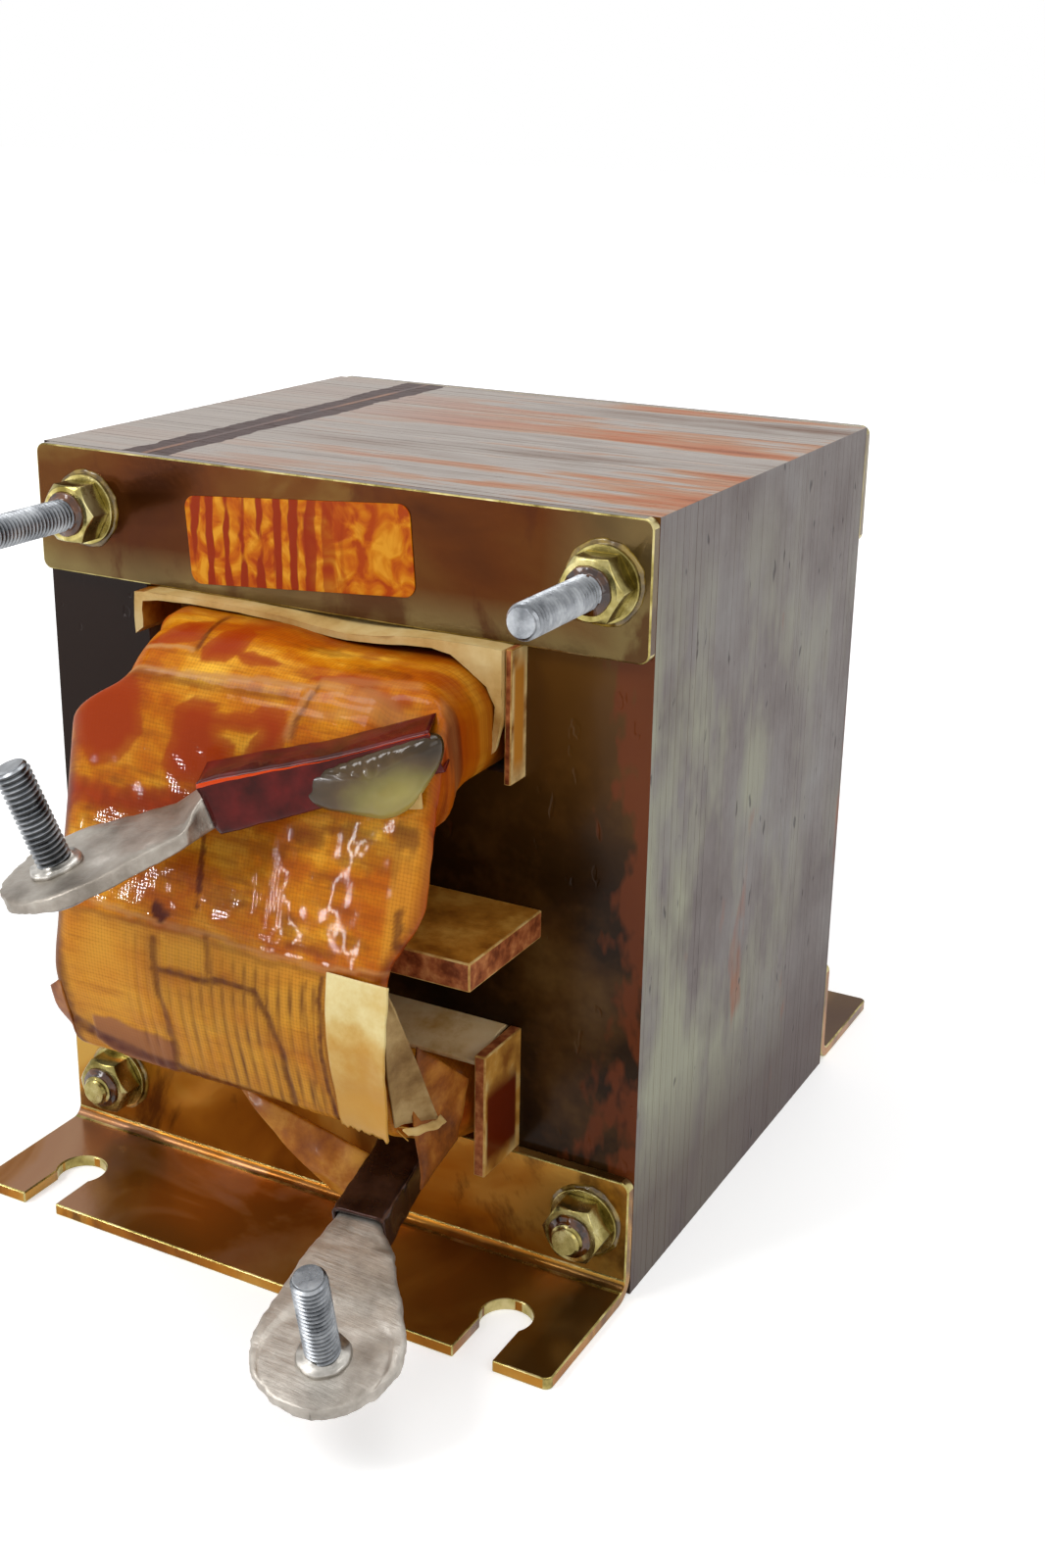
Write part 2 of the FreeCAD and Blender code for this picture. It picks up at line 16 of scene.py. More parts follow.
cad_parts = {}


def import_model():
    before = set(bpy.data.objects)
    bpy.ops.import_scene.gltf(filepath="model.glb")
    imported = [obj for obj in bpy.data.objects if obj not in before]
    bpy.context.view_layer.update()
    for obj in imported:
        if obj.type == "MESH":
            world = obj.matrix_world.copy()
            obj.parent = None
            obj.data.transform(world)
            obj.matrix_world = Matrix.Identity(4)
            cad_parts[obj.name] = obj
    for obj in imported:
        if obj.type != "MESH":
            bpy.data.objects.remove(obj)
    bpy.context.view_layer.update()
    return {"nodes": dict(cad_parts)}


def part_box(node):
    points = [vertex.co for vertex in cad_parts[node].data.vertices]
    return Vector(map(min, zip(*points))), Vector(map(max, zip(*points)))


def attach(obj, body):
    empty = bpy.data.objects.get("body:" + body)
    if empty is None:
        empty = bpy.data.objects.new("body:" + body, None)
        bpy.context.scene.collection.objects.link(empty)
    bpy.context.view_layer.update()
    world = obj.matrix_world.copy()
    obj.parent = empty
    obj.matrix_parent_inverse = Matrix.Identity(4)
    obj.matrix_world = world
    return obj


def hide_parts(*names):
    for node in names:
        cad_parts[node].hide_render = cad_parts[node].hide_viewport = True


MM = 0.001
FORWARD = (0, -1, 0)
LAID_UNIT = 100.0    # millimetres to one unit of the map laid on the coil's tape


# Small tools

def linear(hex_colour):
    """An sRGB hex colour as linear red, green, blue and full opacity."""
    parts = [int(hex_colour[i:i + 2], 16) / 255 for i in (1, 3, 5)]
    curve = [c / 12.92 if c <= 0.04045 else ((c + 0.055) / 1.055) ** 2.4 for c in parts]
    return (*curve, 1.0)


def lumps(size, unit=1000.0):
    """The Scale that makes a pattern's lumps so many millimetres wide. The unit is what one step of the
    pattern's coordinates measures in millimetres: a metre, unless said otherwise."""
    return unit / size


def put(tree, kind, inputs=None, stops=None, **settings):
    """Adds one node, sets its properties and inputs, and links the inputs that are sockets. The stops of
    a colour ramp are pairs of a place and a colour."""
    added = tree.nodes.new(kind)
    for name, value in settings.items():
        setattr(added, name, value)
    for name, value in (inputs or {}).items():
        socket = added.inputs[name]
        if isinstance(value, bpy.types.NodeSocket):
            tree.links.new(value, socket)
        else:
            socket.default_value = linear(value) if isinstance(value, str) else value
    if stops:
        stops = list(stops)
        ramp = added.color_ramp
        while len(ramp.elements) < len(stops):
            ramp.elements.new(0.5)
        for element, (place, colour) in zip(ramp.elements, stops):
            element.position = place
            element.color = linear(colour)
    return added


def finish(name, **shader_values):
    """A new material with its tree, its shader and its object coordinates."""
    material = bpy.data.materials.new(name)
    material.use_nodes = True
    tree = material.node_tree
    shader = tree.nodes["Principled BSDF"]
    for key, value in shader_values.items():
        socket = shader.inputs[key.replace("_", " ").title().replace("Ior", "IOR")]
        socket.default_value = linear(value) if isinstance(value, str) else value
    place = put(tree, "ShaderNodeTexCoord")
    return material, tree, shader, place.outputs["Object"]


def seen_directly(tree):
    """1 for rays straight from the camera, off a gloss or through something clear, to which the floor
    and the surround show white."""
    path = put(tree, "ShaderNodeLightPath")
    seen = put(tree, "ShaderNodeMath", {0: path.outputs["Is Camera Ray"], 1: path.outputs["Is Glossy Ray"]},
               operation="ADD")
    return put(tree, "ShaderNodeMath", {0: seen.outputs[0], 1: path.outputs["Is Transmission Ray"]},
               operation="MAXIMUM").outputs[0]


def smooth(low, high, value):
    """0 at low, 1 at high, eased between, and flat beyond. Low may be the larger of the two."""
    t = min(1.0, max(0.0, (value - low) / (high - low)))
    return t * t * (3 - 2 * t)


def rough(x, y, z=0.0, size=1.0):
    """Smooth noise from -1 to 1 whose lumps are about the size given, in millimetres."""
    return noise.noise(Vector((x, y, z)) / size)


def box_mm(name):
    """The low and high corners of a CAD node in millimetres."""
    return [Vector([round(part / MM, 3) for part in corner]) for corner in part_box(name)]


def to_object(bm, name, material, node=None, smooth_shade=True, crease=None):
    """Turns a bmesh in millimetres into a piece in metres that rides on the object and stands in for one
    CAD node or several. Edges sharper than the crease angle, in degrees, stay sharp."""
    bmesh.ops.recalc_face_normals(bm, faces=bm.faces)
    bmesh.ops.scale(bm, vec=(MM, MM, MM), verts=bm.verts)
    mesh = bpy.data.meshes.new(name)
    bm.to_mesh(mesh)
    bm.free()
    for face in mesh.polygons:
        face.use_smooth = smooth_shade
    if crease:
        mesh.set_sharp_from_angle(angle=math.radians(crease))
    mesh.materials.append(material)
    piece = bpy.data.objects.new(name, mesh)
    bpy.context.scene.collection.objects.link(piece)
    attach(piece, "root")
    if node:
        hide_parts(*([node] if isinstance(node, str) else node))
    return piece


def skin(bm, loops, closed=False):
    """Bridges a row of equal loops of points into a tube, which closes on itself or gets two caps."""
    rings = []
    for loop in loops:
        verts = [bm.verts.new(point) for point in loop]
        rings.append([bm.edges.new(pair) for pair in zip(verts, verts[1:] + verts[:1])])
    pairs = list(zip(rings, rings[1:])) + ([(rings[-1], rings[0])] if closed else [])
    for first, second in pairs:
        bmesh.ops.bridge_loops(bm, edges=first + second)
    if not closed:
        for ring in (rings[0], rings[-1]):
            bmesh.ops.contextual_create(bm, geom=ring)
    return bm


def oval(width, height, power, count):
    """A squared-off oval about the origin, from a circle to nearly a rectangle as the power grows."""
    points = []
    for i in range(count):
        angle = 2 * math.pi * i / count
        c, s = math.cos(angle), math.sin(angle)
        points.append((
            width / 2 * math.copysign(abs(c) ** (2 / power), c),
            height / 2 * math.copysign(abs(s) ** (2 / power), s),
        ))
    return points


def turned_to(foot, way):
    """The matrix that sets a shape made along +Z on a foot and turns it along a direction."""
    return Matrix.Translation(Vector(foot)) @ Vector(way).to_track_quat("Z", "Y").to_matrix().to_4x4()


# Materials

AIR_GAP_MIDDLE = -0.053    # metres: where the gap between the E legs and the I stands


def core_material():
    """Silicon steel sheets under thin varnish. The cut edges at the side are mauve grey with greenish
    drips, pits and strokes of rust; on top they are pale grey with orange streaks along the sheets.
    The outermost sheet, which faces forward, is a glossy dark brown with rust at its right margin."""
    material, tree, shader, here = finish("varnished_silicon_steel", metallic=0.06, coat_weight=0.04,
                                          specular_ior_level=0.1, coat_roughness=0.12)
    facing = put(tree, "ShaderNodeSeparateXYZ", {"Vector": put(tree, "ShaderNodeVectorMath", {
        0: put(tree, "ShaderNodeTexCoord").outputs["Normal"]}, operation="ABSOLUTE").outputs[0]})
    parts = put(tree, "ShaderNodeSeparateXYZ", {"Vector": here})
    upright = put(tree, "ShaderNodeMapping", {"Vector": here, "Scale": (1.0, 1.0, 0.45)}).outputs[0]
    level = put(tree, "ShaderNodeMapping", {"Vector": here, "Scale": (0.14, 1.0, 1.0)}).outputs[0]
    # Sheets are 0.5 mm thick; their edges are drawn in lines about 1 mm apart so that they show.
    sheets = put(tree, "ShaderNodeTexNoise", {"Vector": put(
        tree, "ShaderNodeMapping", {"Vector": here, "Scale": (0.02, 1.0, 0.02)}).outputs[0],
        "Scale": lumps(1.0), "Detail": 1.0})
    smears = put(tree, "ShaderNodeTexNoise", {
        "Vector": upright, "Scale": lumps(29.4), "Detail": 4.0, "Roughness": 0.6})
    blotch = put(tree, "ShaderNodeTexNoise", {
        "Vector": here, "Scale": lumps(38.5), "Detail": 5.0, "Roughness": 0.6})
    pits = put(tree, "ShaderNodeTexNoise", {"Vector": upright, "Scale": lumps(3.85), "Detail": 2.0})
    streaks = put(tree, "ShaderNodeTexNoise", {
        "Vector": level, "Scale": lumps(16.7), "Detail": 5.0, "Roughness": 0.6})
    # The side: greenish drips that fade towards the back and the top, darker towards the foot,
    # strokes of rust and black pits.
    mauve = put(tree, "ShaderNodeValToRGB", {"Fac": blotch.outputs["Fac"]}, stops=[
        (0.32, "#645855"), (0.5, "#79706d"), (0.68, "#888380")])
    drip_zone = put(tree, "ShaderNodeMapRange", {
        "Value": parts.outputs["Y"], "From Min": 0.055, "From Max": -0.03, "To Min": 0.35})
    drips = put(tree, "ShaderNodeMapRange", {
        "Value": smears.outputs["Fac"], "From Min": 0.44, "From Max": 0.6})
    drips = put(tree, "ShaderNodeMath", {0: drips.outputs[0], 1: drip_zone.outputs[0]}, operation="MULTIPLY")
    high = put(tree, "ShaderNodeMapRange", {"Value": parts.outputs["Z"], "From Min": 0.19, "From Max": 0.15})
    drips = put(tree, "ShaderNodeMath", {0: drips.outputs[0], 1: high.outputs[0]}, operation="MULTIPLY")
    side = put(tree, "ShaderNodeMix", {
        "Factor": drips.outputs[0], "A": mauve.outputs["Color"], "B": "#9a9984"}, data_type="RGBA")
    low = put(tree, "ShaderNodeMapRange", {
        "Value": parts.outputs["Z"], "From Min": 0.05, "From Max": 0.02, "To Max": 0.8})
    side = put(tree, "ShaderNodeMix", {
        "Factor": low.outputs[0], "A": side.outputs["Result"], "B": "#4e3a36"}, data_type="RGBA")
    strokes = put(tree, "ShaderNodeMapping", {
        "Vector": here, "Location": (0.3, 0.1, 0.0), "Scale": (1.0, 1.0, 0.4)}).outputs[0]
    rusty = put(tree, "ShaderNodeTexNoise", {"Vector": strokes, "Scale": lumps(26.3), "Detail": 4.0})
    rust = put(tree, "ShaderNodeMapRange", {
        "Value": rusty.outputs["Fac"], "From Min": 0.68, "From Max": 0.76})
    side = put(tree, "ShaderNodeMix", {
        "Factor": rust.outputs[0], "A": side.outputs["Result"], "B": "#945330"}, data_type="RGBA")
    pit = put(tree, "ShaderNodeMapRange", {
        "Value": pits.outputs["Fac"], "From Min": 0.68, "From Max": 0.73, "To Max": 0.7})
    side = put(tree, "ShaderNodeMix", {
        "Factor": pit.outputs[0], "A": side.outputs["Result"], "B": "#2e2626"}, data_type="RGBA")
    # The top: grey with orange streaks, except over the I, which stayed clean.
    grey = put(tree, "ShaderNodeValToRGB", {"Fac": streaks.outputs["Fac"]}, stops=[
        (0.32, "#6b4c38"), (0.42, "#8f837a"), (0.5, "#a39a93"), (0.55, "#a5795a"), (0.62, "#a65c2c"),
        (0.74, "#6f3517")])
    sunny = put(tree, "ShaderNodeMapRange", {
        "Value": parts.outputs["X"], "From Min": -0.06, "From Max": 0.03, "To Min": 0.1, "To Max": 1.0})
    top = put(tree, "ShaderNodeMix", {
        "Factor": sunny.outputs[0], "A": "#a1978f", "B": grey.outputs["Color"]}, data_type="RGBA")
    # Varnish ran out of the air gap and dried red-brown on both sides of it.
    apart = put(tree, "ShaderNodeMath", {0: parts.outputs["X"], 1: AIR_GAP_MIDDLE}, operation="SUBTRACT")
    apart = put(tree, "ShaderNodeMath", {0: apart.outputs[0]}, operation="ABSOLUTE")
    reach = put(tree, "ShaderNodeMath", {0: streaks.outputs["Fac"], 1: 0.006}, operation="MULTIPLY")
    reach = put(tree, "ShaderNodeMath", {
        0: blotch.outputs["Fac"], 1: 0.007, 2: reach.outputs[0]}, operation="MULTIPLY_ADD")
    ran = put(tree, "ShaderNodeMath", {0: apart.outputs[0], 1: reach.outputs[0]}, operation="LESS_THAN")
    top = put(tree, "ShaderNodeMix", {
        "Factor": ran.outputs[0], "A": top.outputs["Result"], "B": "#341006"}, data_type="RGBA")
    up = put(tree, "ShaderNodeMath", {0: facing.outputs["Z"], 1: 0.5}, operation="GREATER_THAN")
    edges = put(tree, "ShaderNodeMix", {
        "Factor": up.outputs[0], "A": side.outputs["Result"], "B": top.outputs["Result"]}, data_type="RGBA")
    lined = put(tree, "ShaderNodeMapRange", {
        "Value": sheets.outputs["Fac"], "From Min": 0.3, "From Max": 0.7, "To Min": 0.95, "To Max": 1.03})
    edges = put(tree, "ShaderNodeVectorMath", {
        0: edges.outputs["Result"], "Scale": lined.outputs[0]}, operation="SCALE")
    # The front sheet: nearly black where the coil shades it and on the I, which is painted shade, browner
    # towards the upper right, which is a painted reflection, and rust along its right margin.
    brown = put(tree, "ShaderNodeValToRGB", {"Fac": blotch.outputs["Fac"]}, stops=[
        (0.35, "#1a0d04"), (0.5, "#2c1a08"), (0.6, "#482e12"), (0.72, "#624622")])
    # Painted reflection: the sheet is browner towards its upper right.
    lofty = put(tree, "ShaderNodeMapRange", {
        "Value": parts.outputs["Z"], "From Min": 0.105, "From Max": 0.165, "To Max": 0.7})
    rightward = put(tree, "ShaderNodeMapRange", {"Value": parts.outputs["X"], "From Max": 0.04})
    lofty = put(tree, "ShaderNodeMath", {0: lofty.outputs[0], 1: rightward.outputs[0]}, operation="MULTIPLY")
    brown = put(tree, "ShaderNodeMix", {
        "Factor": lofty.outputs[0], "A": brown.outputs["Color"], "B": "#744d1e"}, data_type="RGBA")
    shaded = put(tree, "ShaderNodeMath", {0: parts.outputs["X"], 1: AIR_GAP_MIDDLE}, operation="LESS_THAN")
    brown = put(tree, "ShaderNodeMix", {
        "Factor": shaded.outputs[0], "A": brown.outputs["Result"], "B": "#1e0d04"}, data_type="RGBA")
    margin = put(tree, "ShaderNodeMapRange", {
        "Value": parts.outputs["X"], "From Min": 0.062, "From Max": 0.083, "To Max": 0.3})
    ragged = put(tree, "ShaderNodeMath", {
        0: pits.outputs["Fac"], 1: 0.5, 2: smears.outputs["Fac"]}, operation="MULTIPLY_ADD")
    torn = put(tree, "ShaderNodeMath", {0: margin.outputs[0], 1: ragged.outputs[0]}, operation="ADD")
    torn = put(tree, "ShaderNodeMapRange", {
        "Value": torn.outputs[0], "From Min": 0.96, "From Max": 1.05, "To Max": 0.85})
    front = put(tree, "ShaderNodeMix", {
        "Factor": torn.outputs[0], "A": brown.outputs["Result"], "B": "#6a3316"}, data_type="RGBA")
    forward = put(tree, "ShaderNodeMath", {
        0: facing.outputs["Y"], 1: 0.5}, operation="GREATER_THAN").outputs[0]
    colour = put(tree, "ShaderNodeMix", {
        "Factor": forward, "A": edges.outputs[0], "B": front.outputs["Result"]}, data_type="RGBA")
    tree.links.new(colour.outputs["Result"], shader.inputs["Base Color"])
    gloss = put(tree, "ShaderNodeMapRange", {"Value": forward, "To Min": 0.42, "To Max": 0.22})
    tree.links.new(gloss.outputs[0], shader.inputs["Roughness"])
    height = put(tree, "ShaderNodeMath", {
        0: pit.outputs[0], 1: -1.5, 2: smears.outputs["Fac"]}, operation="MULTIPLY_ADD")
    bump = put(tree, "ShaderNodeBump", {"Strength": 0.3, "Distance": 0.0004, "Height": height.outputs[0]})
    tree.links.new(bump.outputs[0], shader.inputs["Normal"])
    return material


def plate_material():
    """Yellow-passivated zinc plate dipped in amber varnish: a dark olive metal sheen with red-brown
    runs, golden on the upright legs of the feet and dark brown on their flanges."""
    material, tree, shader, here = finish("yellow_zinc_under_varnish", metallic=0.6, coat_weight=0.03,
                                          coat_roughness=0.06, specular_ior_level=0.1)
    parts = put(tree, "ShaderNodeSeparateXYZ", {"Vector": here})
    facing = put(tree, "ShaderNodeSeparateXYZ", {
        "Vector": put(tree, "ShaderNodeTexCoord").outputs["Normal"]})
    wide = put(tree, "ShaderNodeTexNoise", {
        "Vector": here, "Scale": lumps(50.0), "Detail": 4.0, "Distortion": 1.0})
    runs = put(tree, "ShaderNodeTexNoise", {"Vector": put(
        tree, "ShaderNodeMapping", {"Vector": here, "Scale": (1.0, 1.0, 0.45)}).outputs[0],
        "Scale": lumps(23.8), "Detail": 6.0, "Roughness": 0.62, "Distortion": 0.6})
    olive = put(tree, "ShaderNodeValToRGB", {"Fac": wide.outputs["Fac"]}, stops=[
        (0.32, "#381803"), (0.44, "#4c2404"), (0.56, "#54300c"), (0.7, "#6c5428")])
    # At the right end the varnish ran thin and the passivation shows; the paler band along the lower edge is
    # a painted reflection.
    thin = put(tree, "ShaderNodeMapRange", {
        "Value": parts.outputs["X"], "From Min": 0.058, "From Max": 0.078})
    lower_edge_reflection = put(tree, "ShaderNodeMapRange", {
        "Value": parts.outputs["Z"], "From Min": 0.170, "From Max": 0.162})
    thin = put(tree, "ShaderNodeMath", {0: thin.outputs[0], 1: lower_edge_reflection.outputs[0]}, operation="MAXIMUM")
    thin = put(tree, "ShaderNodeMath", {0: thin.outputs[0], 1: wide.outputs["Fac"]}, operation="MULTIPLY")
    olive = put(tree, "ShaderNodeMix", {
        "Factor": thin.outputs[0], "A": olive.outputs["Color"], "B": "#7a7048"}, data_type="RGBA")
    gold = put(tree, "ShaderNodeValToRGB", {"Fac": wide.outputs["Fac"]}, stops=[
        (0.35, "#80480c"), (0.5, "#a86c1c"), (0.65, "#c09444")])
    low = put(tree, "ShaderNodeMapRange", {"Value": parts.outputs["Z"], "From Min": 0.034, "From Max": 0.033})
    leg = put(tree, "ShaderNodeMix", {
        "Factor": low.outputs[0], "A": olive.outputs["Result"], "B": gold.outputs["Color"]}, data_type="RGBA")
    flange = put(tree, "ShaderNodeValToRGB", {"Fac": wide.outputs["Fac"]}, stops=[
        (0.38, "#84501a"), (0.5, "#9c6a28"), (0.62, "#ac8044")])
    # Painted reflection: a mauve patch on the flange towards the left, under the coil, broken up by the
    # mottle.
    mauve_reflection = put(tree, "ShaderNodeMapRange", {
        "Value": parts.outputs["X"], "From Min": 0.012, "From Max": -0.015, "To Max": 0.75})
    cloudy = put(tree, "ShaderNodeMapRange", {
        "Value": wide.outputs["Fac"], "From Min": 0.4, "From Max": 0.5})
    mauve_reflection = put(tree, "ShaderNodeMath", {0: mauve_reflection.outputs[0], 1: cloudy.outputs[0]}, operation="MULTIPLY")
    flange = put(tree, "ShaderNodeMix", {
        "Factor": mauve_reflection.outputs[0], "A": flange.outputs["Color"], "B": "#977059"}, data_type="RGBA")
    # Painted dark reflection: the flange darkens towards its right end.
    corner = put(tree, "ShaderNodeMapRange", {
        "Value": parts.outputs["X"], "From Min": 0.058, "From Max": 0.076, "To Max": 0.85})
    flange = put(tree, "ShaderNodeMix", {
        "Factor": corner.outputs[0], "A": flange.outputs["Result"], "B": "#3a220a"}, data_type="RGBA")
    lying = put(tree, "ShaderNodeMath", {0: facing.outputs["Z"], 1: 0.5}, operation="GREATER_THAN")
    lying = put(tree, "ShaderNodeMath", {0: lying.outputs[0], 1: low.outputs[0]}, operation="MULTIPLY")
    metal = put(tree, "ShaderNodeMix", {
        "Factor": lying.outputs[0], "A": leg.outputs["Result"], "B": flange.outputs["Result"]},
        data_type="RGBA")
    stain = put(tree, "ShaderNodeMapRange", {
        "Value": runs.outputs["Fac"], "From Min": 0.53, "From Max": 0.62, "To Max": 0.7})
    standing = put(tree, "ShaderNodeMapRange", {"Value": lying.outputs[0], "To Min": 1.0, "To Max": 0.0})
    stain = put(tree, "ShaderNodeMath", {0: stain.outputs[0], 1: standing.outputs[0]}, operation="MULTIPLY")
    colour = put(tree, "ShaderNodeMix", {
        "Factor": stain.outputs[0], "A": metal.outputs["Result"], "B": "#3f1a05"}, data_type="RGBA")
    tree.links.new(colour.outputs["Result"], shader.inputs["Base Color"])
    rougher = put(tree, "ShaderNodeMapRange", {"Value": runs.outputs["Fac"], "To Min": 0.12, "To Max": 0.3})
    tree.links.new(rougher.outputs[0], shader.inputs["Roughness"])
    grain = put(tree, "ShaderNodeTexNoise", {"Vector": here, "Scale": lumps(1.43), "Detail": 3.0})
    bump = put(tree, "ShaderNodeBump", {"Strength": 0.15, "Distance": 0.0002, "Height": grain.outputs["Fac"]})
    tree.links.new(bump.outputs[0], shader.inputs["Normal"])
    return material


def metal_material(name, tones, smooth_end, rough_end, grain_size, grain_strength, groove_colour=None):
    """A bare or plated metal: a soft change between three tones, and a grain that breaks up its glints.
    Groove colour is the colour its grooves are darkened to."""
    material, tree, shader, here = finish(name, metallic=0.95)
    tone = put(tree, "ShaderNodeTexNoise", {
        "Vector": here, "Scale": lumps(7.14), "Detail": 5.0, "Roughness": 0.6})
    colour = put(tree, "ShaderNodeValToRGB", {"Fac": tone.outputs["Fac"]},
                 stops=zip((0.34, 0.5, 0.66), tones)).outputs["Color"]
    if groove_colour:
        groove = put(tree, "ShaderNodeMapRange", {
            "Value": put(tree, "ShaderNodeNewGeometry").outputs["Pointiness"],
            "From Min": 0.51, "From Max": 0.46})
        colour = put(tree, "ShaderNodeMix", {
            "Factor": groove.outputs[0], "A": colour, "B": groove_colour}, data_type="RGBA").outputs["Result"]
    tree.links.new(colour, shader.inputs["Base Color"])
    rougher = put(tree, "ShaderNodeMapRange", {
        "Value": tone.outputs["Fac"], "From Min": 0.3, "From Max": 0.7, "To Min": smooth_end,
        "To Max": rough_end})
    tree.links.new(rougher.outputs[0], shader.inputs["Roughness"])
    grain = put(tree, "ShaderNodeTexNoise", {"Vector": here, "Scale": lumps(grain_size), "Detail": 4.0})
    bump = put(tree, "ShaderNodeBump", {
        "Strength": grain_strength, "Distance": 0.0003, "Height": grain.outputs["Fac"]})
    tree.links.new(bump.outputs[0], shader.inputs["Normal"])
    return material


def tinned_material(name, *tones):
    """Hand-tinned copper wiped while hot and brushed: dull warm grey in four tones, with drawn scratches
    and whiter smears of solder."""
    material, tree, shader, here = finish(name, metallic=0.85)
    drawn = put(tree, "ShaderNodeMapping", {
        "Vector": here, "Rotation": (0.0, 0.3, 0.75), "Scale": (0.1, 1.0, 1.0)}).outputs[0]
    scratches = put(tree, "ShaderNodeTexNoise", {
        "Vector": drawn, "Scale": lumps(1.25), "Detail": 5.0, "Roughness": 0.7})
    patches = put(tree, "ShaderNodeTexNoise", {
        "Vector": here, "Scale": lumps(11.1), "Detail": 5.0, "Roughness": 0.6})
    colour = put(tree, "ShaderNodeValToRGB", {"Fac": patches.outputs["Fac"]},
                 stops=zip((0.3, 0.46, 0.6, 0.72), tones))
    tree.links.new(colour.outputs["Color"], shader.inputs["Base Color"])
    rougher = put(tree, "ShaderNodeMapRange", {
        "Value": scratches.outputs["Fac"], "To Min": 0.3, "To Max": 0.6})
    tree.links.new(rougher.outputs[0], shader.inputs["Roughness"])
    height = put(tree, "ShaderNodeMath", {
        0: scratches.outputs["Fac"], 1: patches.outputs["Fac"]}, operation="ADD")
    bump = put(tree, "ShaderNodeBump", {"Strength": 0.35, "Distance": 0.0004, "Height": height.outputs[0]})
    tree.links.new(bump.outputs[0], shader.inputs["Normal"])
    return material


def tape_material():
    """Woven glass tape soaked in amber varnish: a glossy skin in which the varnish lies thick and dark
    orange in crisp-edged pools and thin and yellow elsewhere, with the weave just showing. What lies
    where is painted on the wrap as the colour attribute varnish: red for thick varnish, green for seams,
    stains and the painted shade under the liner's front edge, blue for pale tape and alpha for worn folds."""
    material, tree, shader, here = finish("varnished_woven_tape", coat_weight=0.14, coat_roughness=0.04,
                                          specular_ior_level=0.06)
    marks = put(tree, "ShaderNodeVertexColor", layer_name="varnish")
    mark = put(tree, "ShaderNodeSeparateColor", {"Color": marks.outputs["Color"]})
    laid = put(tree, "ShaderNodeUVMap", uv_map="laid").outputs["UV"]
    laid_parts = put(tree, "ShaderNodeSeparateXYZ", {"Vector": laid})
    cloud = put(tree, "ShaderNodeTexNoise", {"Vector": put(
        tree, "ShaderNodeMapping", {"Vector": laid, "Scale": (1.0, 1.5, 1.0)}).outputs[0],
        "Scale": lumps(22.2, LAID_UNIT), "Detail": 6.0, "Roughness": 0.6})
    streak = put(tree, "ShaderNodeTexNoise", {"Vector": put(
        tree, "ShaderNodeMapping", {"Vector": laid, "Scale": (1.0, 9.0, 1.0)}).outputs[0],
        "Scale": lumps(20.0, LAID_UNIT), "Detail": 5.0, "Roughness": 0.6})
    base = put(tree, "ShaderNodeValToRGB", {"Fac": cloud.outputs["Fac"]}, stops=[
        (0.32, "#983e00"), (0.43, "#ba6000"), (0.53, "#d0820c"), (0.66, "#f0b436")])
    warm = put(tree, "ShaderNodeTexNoise", {
        "Vector": laid, "Scale": lumps(43.5, LAID_UNIT), "Detail": 3.0, "Roughness": 0.5})
    warm = put(tree, "ShaderNodeMapRange", {
        "Value": warm.outputs["Fac"], "From Min": 0.45, "From Max": 0.62, "To Max": 0.6})
    base = put(tree, "ShaderNodeMix", {
        "Factor": warm.outputs[0], "A": base.outputs["Color"], "B": "#b65602"}, data_type="RGBA")
    pale = put(tree, "ShaderNodeMix", {
        "Factor": mark.outputs["Blue"], "A": base.outputs["Result"], "B": "#d6952c"}, data_type="RGBA")
    streaky = put(tree, "ShaderNodeMapRange", {
        "Value": streak.outputs["Fac"], "From Min": 0.5, "From Max": 0.66, "To Max": 0.45})
    spared = put(tree, "ShaderNodeMapRange", {"Value": mark.outputs["Blue"], "To Min": 1.0, "To Max": 0.25})
    streaky = put(tree, "ShaderNodeMath", {0: streaky.outputs[0], 1: spared.outputs[0]}, operation="MULTIPLY")
    brushed = put(tree, "ShaderNodeMix", {
        "Factor": streaky.outputs[0], "A": pale.outputs["Result"], "B": "#8a4206"}, data_type="RGBA")
    # The threads of the weave lie 0.6 mm apart; they are drawn 0.9 mm apart so that they show.
    weave = put(tree, "ShaderNodeTexVoronoi", {
        "Vector": laid, "Scale": lumps(0.9, LAID_UNIT), "Randomness": 0.15},
        feature="F1", voronoi_dimensions="2D")
    woven = put(tree, "ShaderNodeMapRange", {
        "Value": weave.outputs["Distance"], "From Min": 0.35, "From Max": 0.65, "To Max": 0.32})
    brushed = put(tree, "ShaderNodeMix", {
        "Factor": woven.outputs[0], "A": brushed.outputs["Result"], "B": "#7a3600"}, data_type="RGBA")
    thick = put(tree, "ShaderNodeMix", {
        "Factor": mark.outputs["Red"], "A": brushed.outputs["Result"], "B": "#9c3400"}, data_type="RGBA")
    # Folds that rubbed are chalky above and brown where they turn under the coil.
    beneath = put(tree, "ShaderNodeMapRange", {
        "Value": laid_parts.outputs["Y"], "From Min": 1.78, "From Max": 1.84})
    rubbed = put(tree, "ShaderNodeMix", {
        "Factor": beneath.outputs[0], "A": "#c08850", "B": "#955a38"}, data_type="RGBA")
    chalky = put(tree, "ShaderNodeMix", {
        "Factor": marks.outputs["Alpha"], "A": thick.outputs["Result"], "B": rubbed.outputs["Result"]},
        data_type="RGBA")
    # Green darkens the seams and stains, and paints the shade under the liner.
    lined = put(tree, "ShaderNodeMix", {
        "Factor": mark.outputs["Green"], "A": chalky.outputs["Result"], "B": "#4c1404"}, data_type="RGBA")
    tree.links.new(lined.outputs["Result"], shader.inputs["Base Color"])
    height = put(tree, "ShaderNodeMath", {
        0: weave.outputs["Distance"], 1: -0.5, 2: cloud.outputs["Fac"]}, operation="MULTIPLY_ADD")
    bump = put(tree, "ShaderNodeBump", {"Strength": 0.35, "Distance": 0.0003, "Height": height.outputs[0]})
    tree.links.new(bump.outputs[0], shader.inputs["Normal"])
